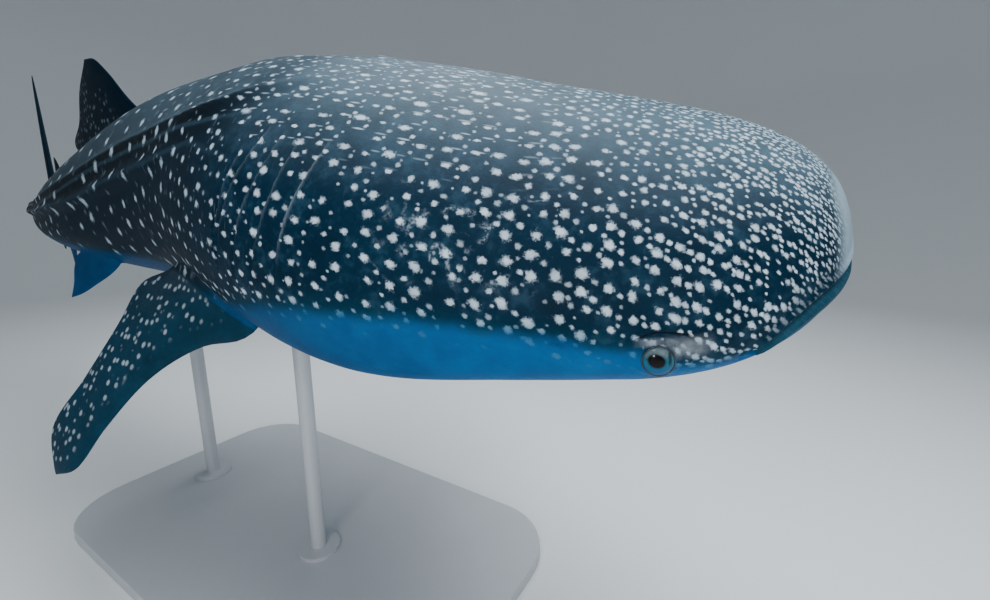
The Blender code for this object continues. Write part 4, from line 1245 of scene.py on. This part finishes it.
def stand_finish(colours):
    """Satin paint with a fine roller texture and slightly rubbed places."""
    finish = Finish("stand_paint")
    place = finish.place
    peel = finish.noise(place, 480.0, 2.0, 0.5)
    cloud = finish.noise(place, 3.2, 4.0, 0.6)
    rub = finish.noise(place, 38.0, 5.0, 0.7)
    shade = (cloud - 0.5) * 0.10 + (rub - 0.5) * 0.06 + 1.0
    rough = 0.40 + (rub - 0.5) * 0.22 + (cloud - 0.5) * 0.1
    finish.surface(finish.lighten(colours.stand_paint, shade), rough)
    finish.feed(finish.shader.inputs["Metallic"], 0.15 + (cloud - 0.5) * 0.1)
    finish.bump(peel + rub * 0.3, 0.0003, 0.5)
    return finish.material


def floor_finish(colours):
    """Pale matt paint, a little cloudy."""
    finish = Finish("floor_paint")
    place = finish.place
    cloud = finish.noise(place, 0.35, 3.0, 0.5)
    fine = finish.noise(place, 40.0, 3.0, 0.5)
    shade = (cloud - 0.5) * 0.05 + (fine - 0.5) * 0.02 + 1.0
    finish.surface(finish.lighten(colours.floor_paint, shade), 0.62 + (fine - 0.5) * 0.1)
    return finish.material


def use_finish(item, made):
    item.data.materials.clear()
    item.data.materials.append(made)


def area_light(name, place, aim, sizes, power, colour):
    data = bpy.data.lights.new(name, "AREA")
    data.shape = "RECTANGLE"
    data.size, data.size_y = sizes
    data.energy = power
    data.color = colour
    item = bpy.data.objects.new(name, data)
    bpy.context.scene.collection.objects.link(item)
    item.location = place
    item.rotation_euler = (Vector(aim) - Vector(place)).to_track_quat("-Z", "Y").to_euler()
    return item


def colour_property(name, description, default):
    return FloatVectorProperty(
        name=name, description=description, default=default, size=3, subtype="COLOR", min=0.0, max=1.0,
    )


class SharkSizes(bpy.types.PropertyGroup):
    ridge_height: FloatProperty(
        name="Ridge height", description="Height of the flank ridges, as a share of the real one",
        default=1.0, min=0.0, max=3.0, subtype="FACTOR",
    )
    mouth_depth: FloatProperty(
        name="Mouth depth", description="Depth of the mouth line", default=0.018, min=0.0, unit="LENGTH",
    )


class SharkColours(bpy.types.PropertyGroup):
    dark_skin: colour_property("Flank", "Dark skin of the sides", (0.0018, 0.0155, 0.033))
    # Painted light: the back's lighter tone stands in for light from above
    lit_back: colour_property("Back", "Lighter skin of the back", (0.060, 0.100, 0.135))
    # Painted shade: the lower flank in the belly's blue shade
    lower_flank_in_blue_shade: colour_property("Lower flank", "Skin just over the belly", (0.0010, 0.030, 0.058))
    # Lighter haze in the dark skin, also used as the painted highlight on the ridge crests
    haze_and_crest_highlight: colour_property("Haze", "Lighter haze in the dark skin", (0.045, 0.105, 0.155))
    spot_skin: colour_property("Spots", "Pale spots", (0.57, 0.69, 0.79))
    # Painted shade: pale spots near the belly in its blue shade
    spots_in_blue_shade: colour_property("Low spots", "Spots near the belly", (0.030, 0.180, 0.300))
    brow_skin: colour_property("Brow", "Pale skin over the eye", (0.260, 0.300, 0.340))
    # Painted shade: the pale belly painted blue as in shade, with lighter patches
    belly_in_blue_shade: colour_property("Belly", "Belly in shade", (0.0005, 0.075, 0.225))
    belly_patches_in_blue_shade: colour_property("Light belly", "Lighter patches of the belly", (0.0008, 0.105, 0.290))
    lip_skin: colour_property("Front rim", "Pale rim of the snout", (0.29, 0.39, 0.47))
    lower_lip_skin: colour_property("Lower lip", "Strip of the lower lip", (0.002, 0.036, 0.066))
    # Painted shade of the mouth slit and of the crease over the eye
    crease_and_slit_shade: colour_property("Mouth slit", "Dark of the mouth line", (0.002, 0.006, 0.010))
    stand_paint: colour_property("Stand", "Paint of the stand", (0.50, 0.53, 0.56))
    floor_paint: colour_property("Floor", "Paint of the floor", (0.76, 0.79, 0.81))


class SHARK_OT_skin(bpy.types.Operator):
    """Make the skin of the body and fins."""

    bl_idname = "shark.skin"
    bl_label = "Skin"

    def execute(self, context):
        skin = whole_skin(context.scene.shark_sizes)
        use_finish(skin, skin_finish(context.scene.shark_colours))
        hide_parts(*FLESH_NODES)
        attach(skin, "root")
        return {"FINISHED"}


class SHARK_OT_eyes(bpy.types.Operator):
    """Make the eyes and the folds of skin round them."""

    bl_idname = "shark.eyes"
    bl_label = "Eyes"

    def execute(self, context):
        wet = eye_finish()
        fold = rim_finish()
        for hand in ("right", "left"):
            globe = eye_globe(hand)
            use_finish(globe, wet)
            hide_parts("eye_" + hand)
            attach(globe, "root")
            rim = eye_rim(hand)
            use_finish(rim, fold)
            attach(rim, "root")
        return {"FINISHED"}


class SHARK_OT_stand(bpy.types.Operator):
    """Give the stand its paint."""

    bl_idname = "shark.stand"
    bl_label = "Stand"

    def execute(self, context):
        paint = stand_finish(context.scene.shark_colours)
        for name in STAND_NODES:
            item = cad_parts[name]
            if not item.material_slots:
                raise RuntimeError("the stand's node " + name + " has no material slot")
            for slot in item.material_slots:
                slot.material = paint
        return {"FINISHED"}


class SHARK_OT_stage(bpy.types.Operator):
    """Make the floor, the lights and the camera."""

    bl_idname = "shark.stage"
    bl_label = "Stage"

    def execute(self, context):
        shape = bmesh.new()
        profile = [(0.0, 0.0), (FLOOR_FLAT, 0.0)]
        for turn in np.linspace(0.1, math.pi / 2, 14):
            out = FLOOR_FLAT + FLOOR_BEND * math.sin(turn)
            profile.append((out, FLOOR_BEND - FLOOR_BEND * math.cos(turn)))
        profile.append((FLOOR_FLAT + FLOOR_BEND, FLOOR_TOP))
        line = [shape.verts.new((radius, 0.0, height - FLOOR_SINK)) for radius, height in profile]
        edges = [shape.edges.new(pair) for pair in zip(line[:-1], line[1:])]
        spun(shape, line + edges, 0.001)
        if sum(face.normal.z * face.calc_area() for face in shape.faces) < 0:
            bmesh.ops.reverse_faces(shape, faces=shape.faces)
        floor = object_from(shape, "studio_floor")
        use_finish(floor, floor_finish(context.scene.shark_colours))
        world = context.scene.world or bpy.data.worlds.new("studio")
        context.scene.world = world
        world.use_nodes = True
        sky = world.node_tree.nodes["Background"]
        sky.inputs["Color"].default_value = SKY_COLOUR
        sky.inputs["Strength"].default_value = SKY_STRENGTH
        for light in LIGHTS:
            area_light(*light)
        middle, turn = eye_axes("right")
        glint = middle + turn @ Vector(CATCHLIGHT) * EYE_LIGHT_AWAY
        area_light("eye_light", glint, middle, *EYE_LIGHT)
        data = bpy.data.cameras.new("photo_camera")
        data.lens = CAMERA_LENS
        data.sensor_width = CAMERA_SENSOR
        data.sensor_fit = "HORIZONTAL"
        data.clip_start = CAMERA_NEAR
        camera = bpy.data.objects.new("photo_camera", data)
        context.scene.collection.objects.link(camera)
        camera.location = CAMERA_PLACE
        camera.rotation_euler = [math.radians(turn) for turn in CAMERA_TURN]
        context.scene.camera = camera
        return {"FINISHED"}


class SHARK_PT_panel(bpy.types.Panel):
    bl_label = "Whale Shark"
    bl_idname = "SHARK_PT_panel"
    bl_space_type = "VIEW_3D"
    bl_region_type = "UI"
    bl_category = "Whale Shark"

    def draw(self, context):
        column = self.layout.column()
        for group in (context.scene.shark_sizes, context.scene.shark_colours):
            for name in group.bl_rna.properties.keys():
                if name not in ("rna_type", "name"):
                    column.prop(group, name)
        for operator in OPERATORS:
            column.operator(operator.bl_idname)


OPERATORS = (SHARK_OT_skin, SHARK_OT_eyes, SHARK_OT_stand, SHARK_OT_stage)
CLASSES = (SharkSizes, SharkColours, *OPERATORS, SHARK_PT_panel)


def register():
    for item in CLASSES:
        bpy.utils.register_class(item)
    bpy.types.Scene.shark_sizes = PointerProperty(type=SharkSizes)
    bpy.types.Scene.shark_colours = PointerProperty(type=SharkColours)


def unregister():
    del bpy.types.Scene.shark_colours
    del bpy.types.Scene.shark_sizes
    for item in reversed(CLASSES):
        bpy.utils.unregister_class(item)


def main():
    register()
    bpy.ops.shark.skin()
    bpy.ops.shark.eyes()
    bpy.ops.shark.stand()
    bpy.ops.shark.stage()


if __name__ == "__main__":
    main()
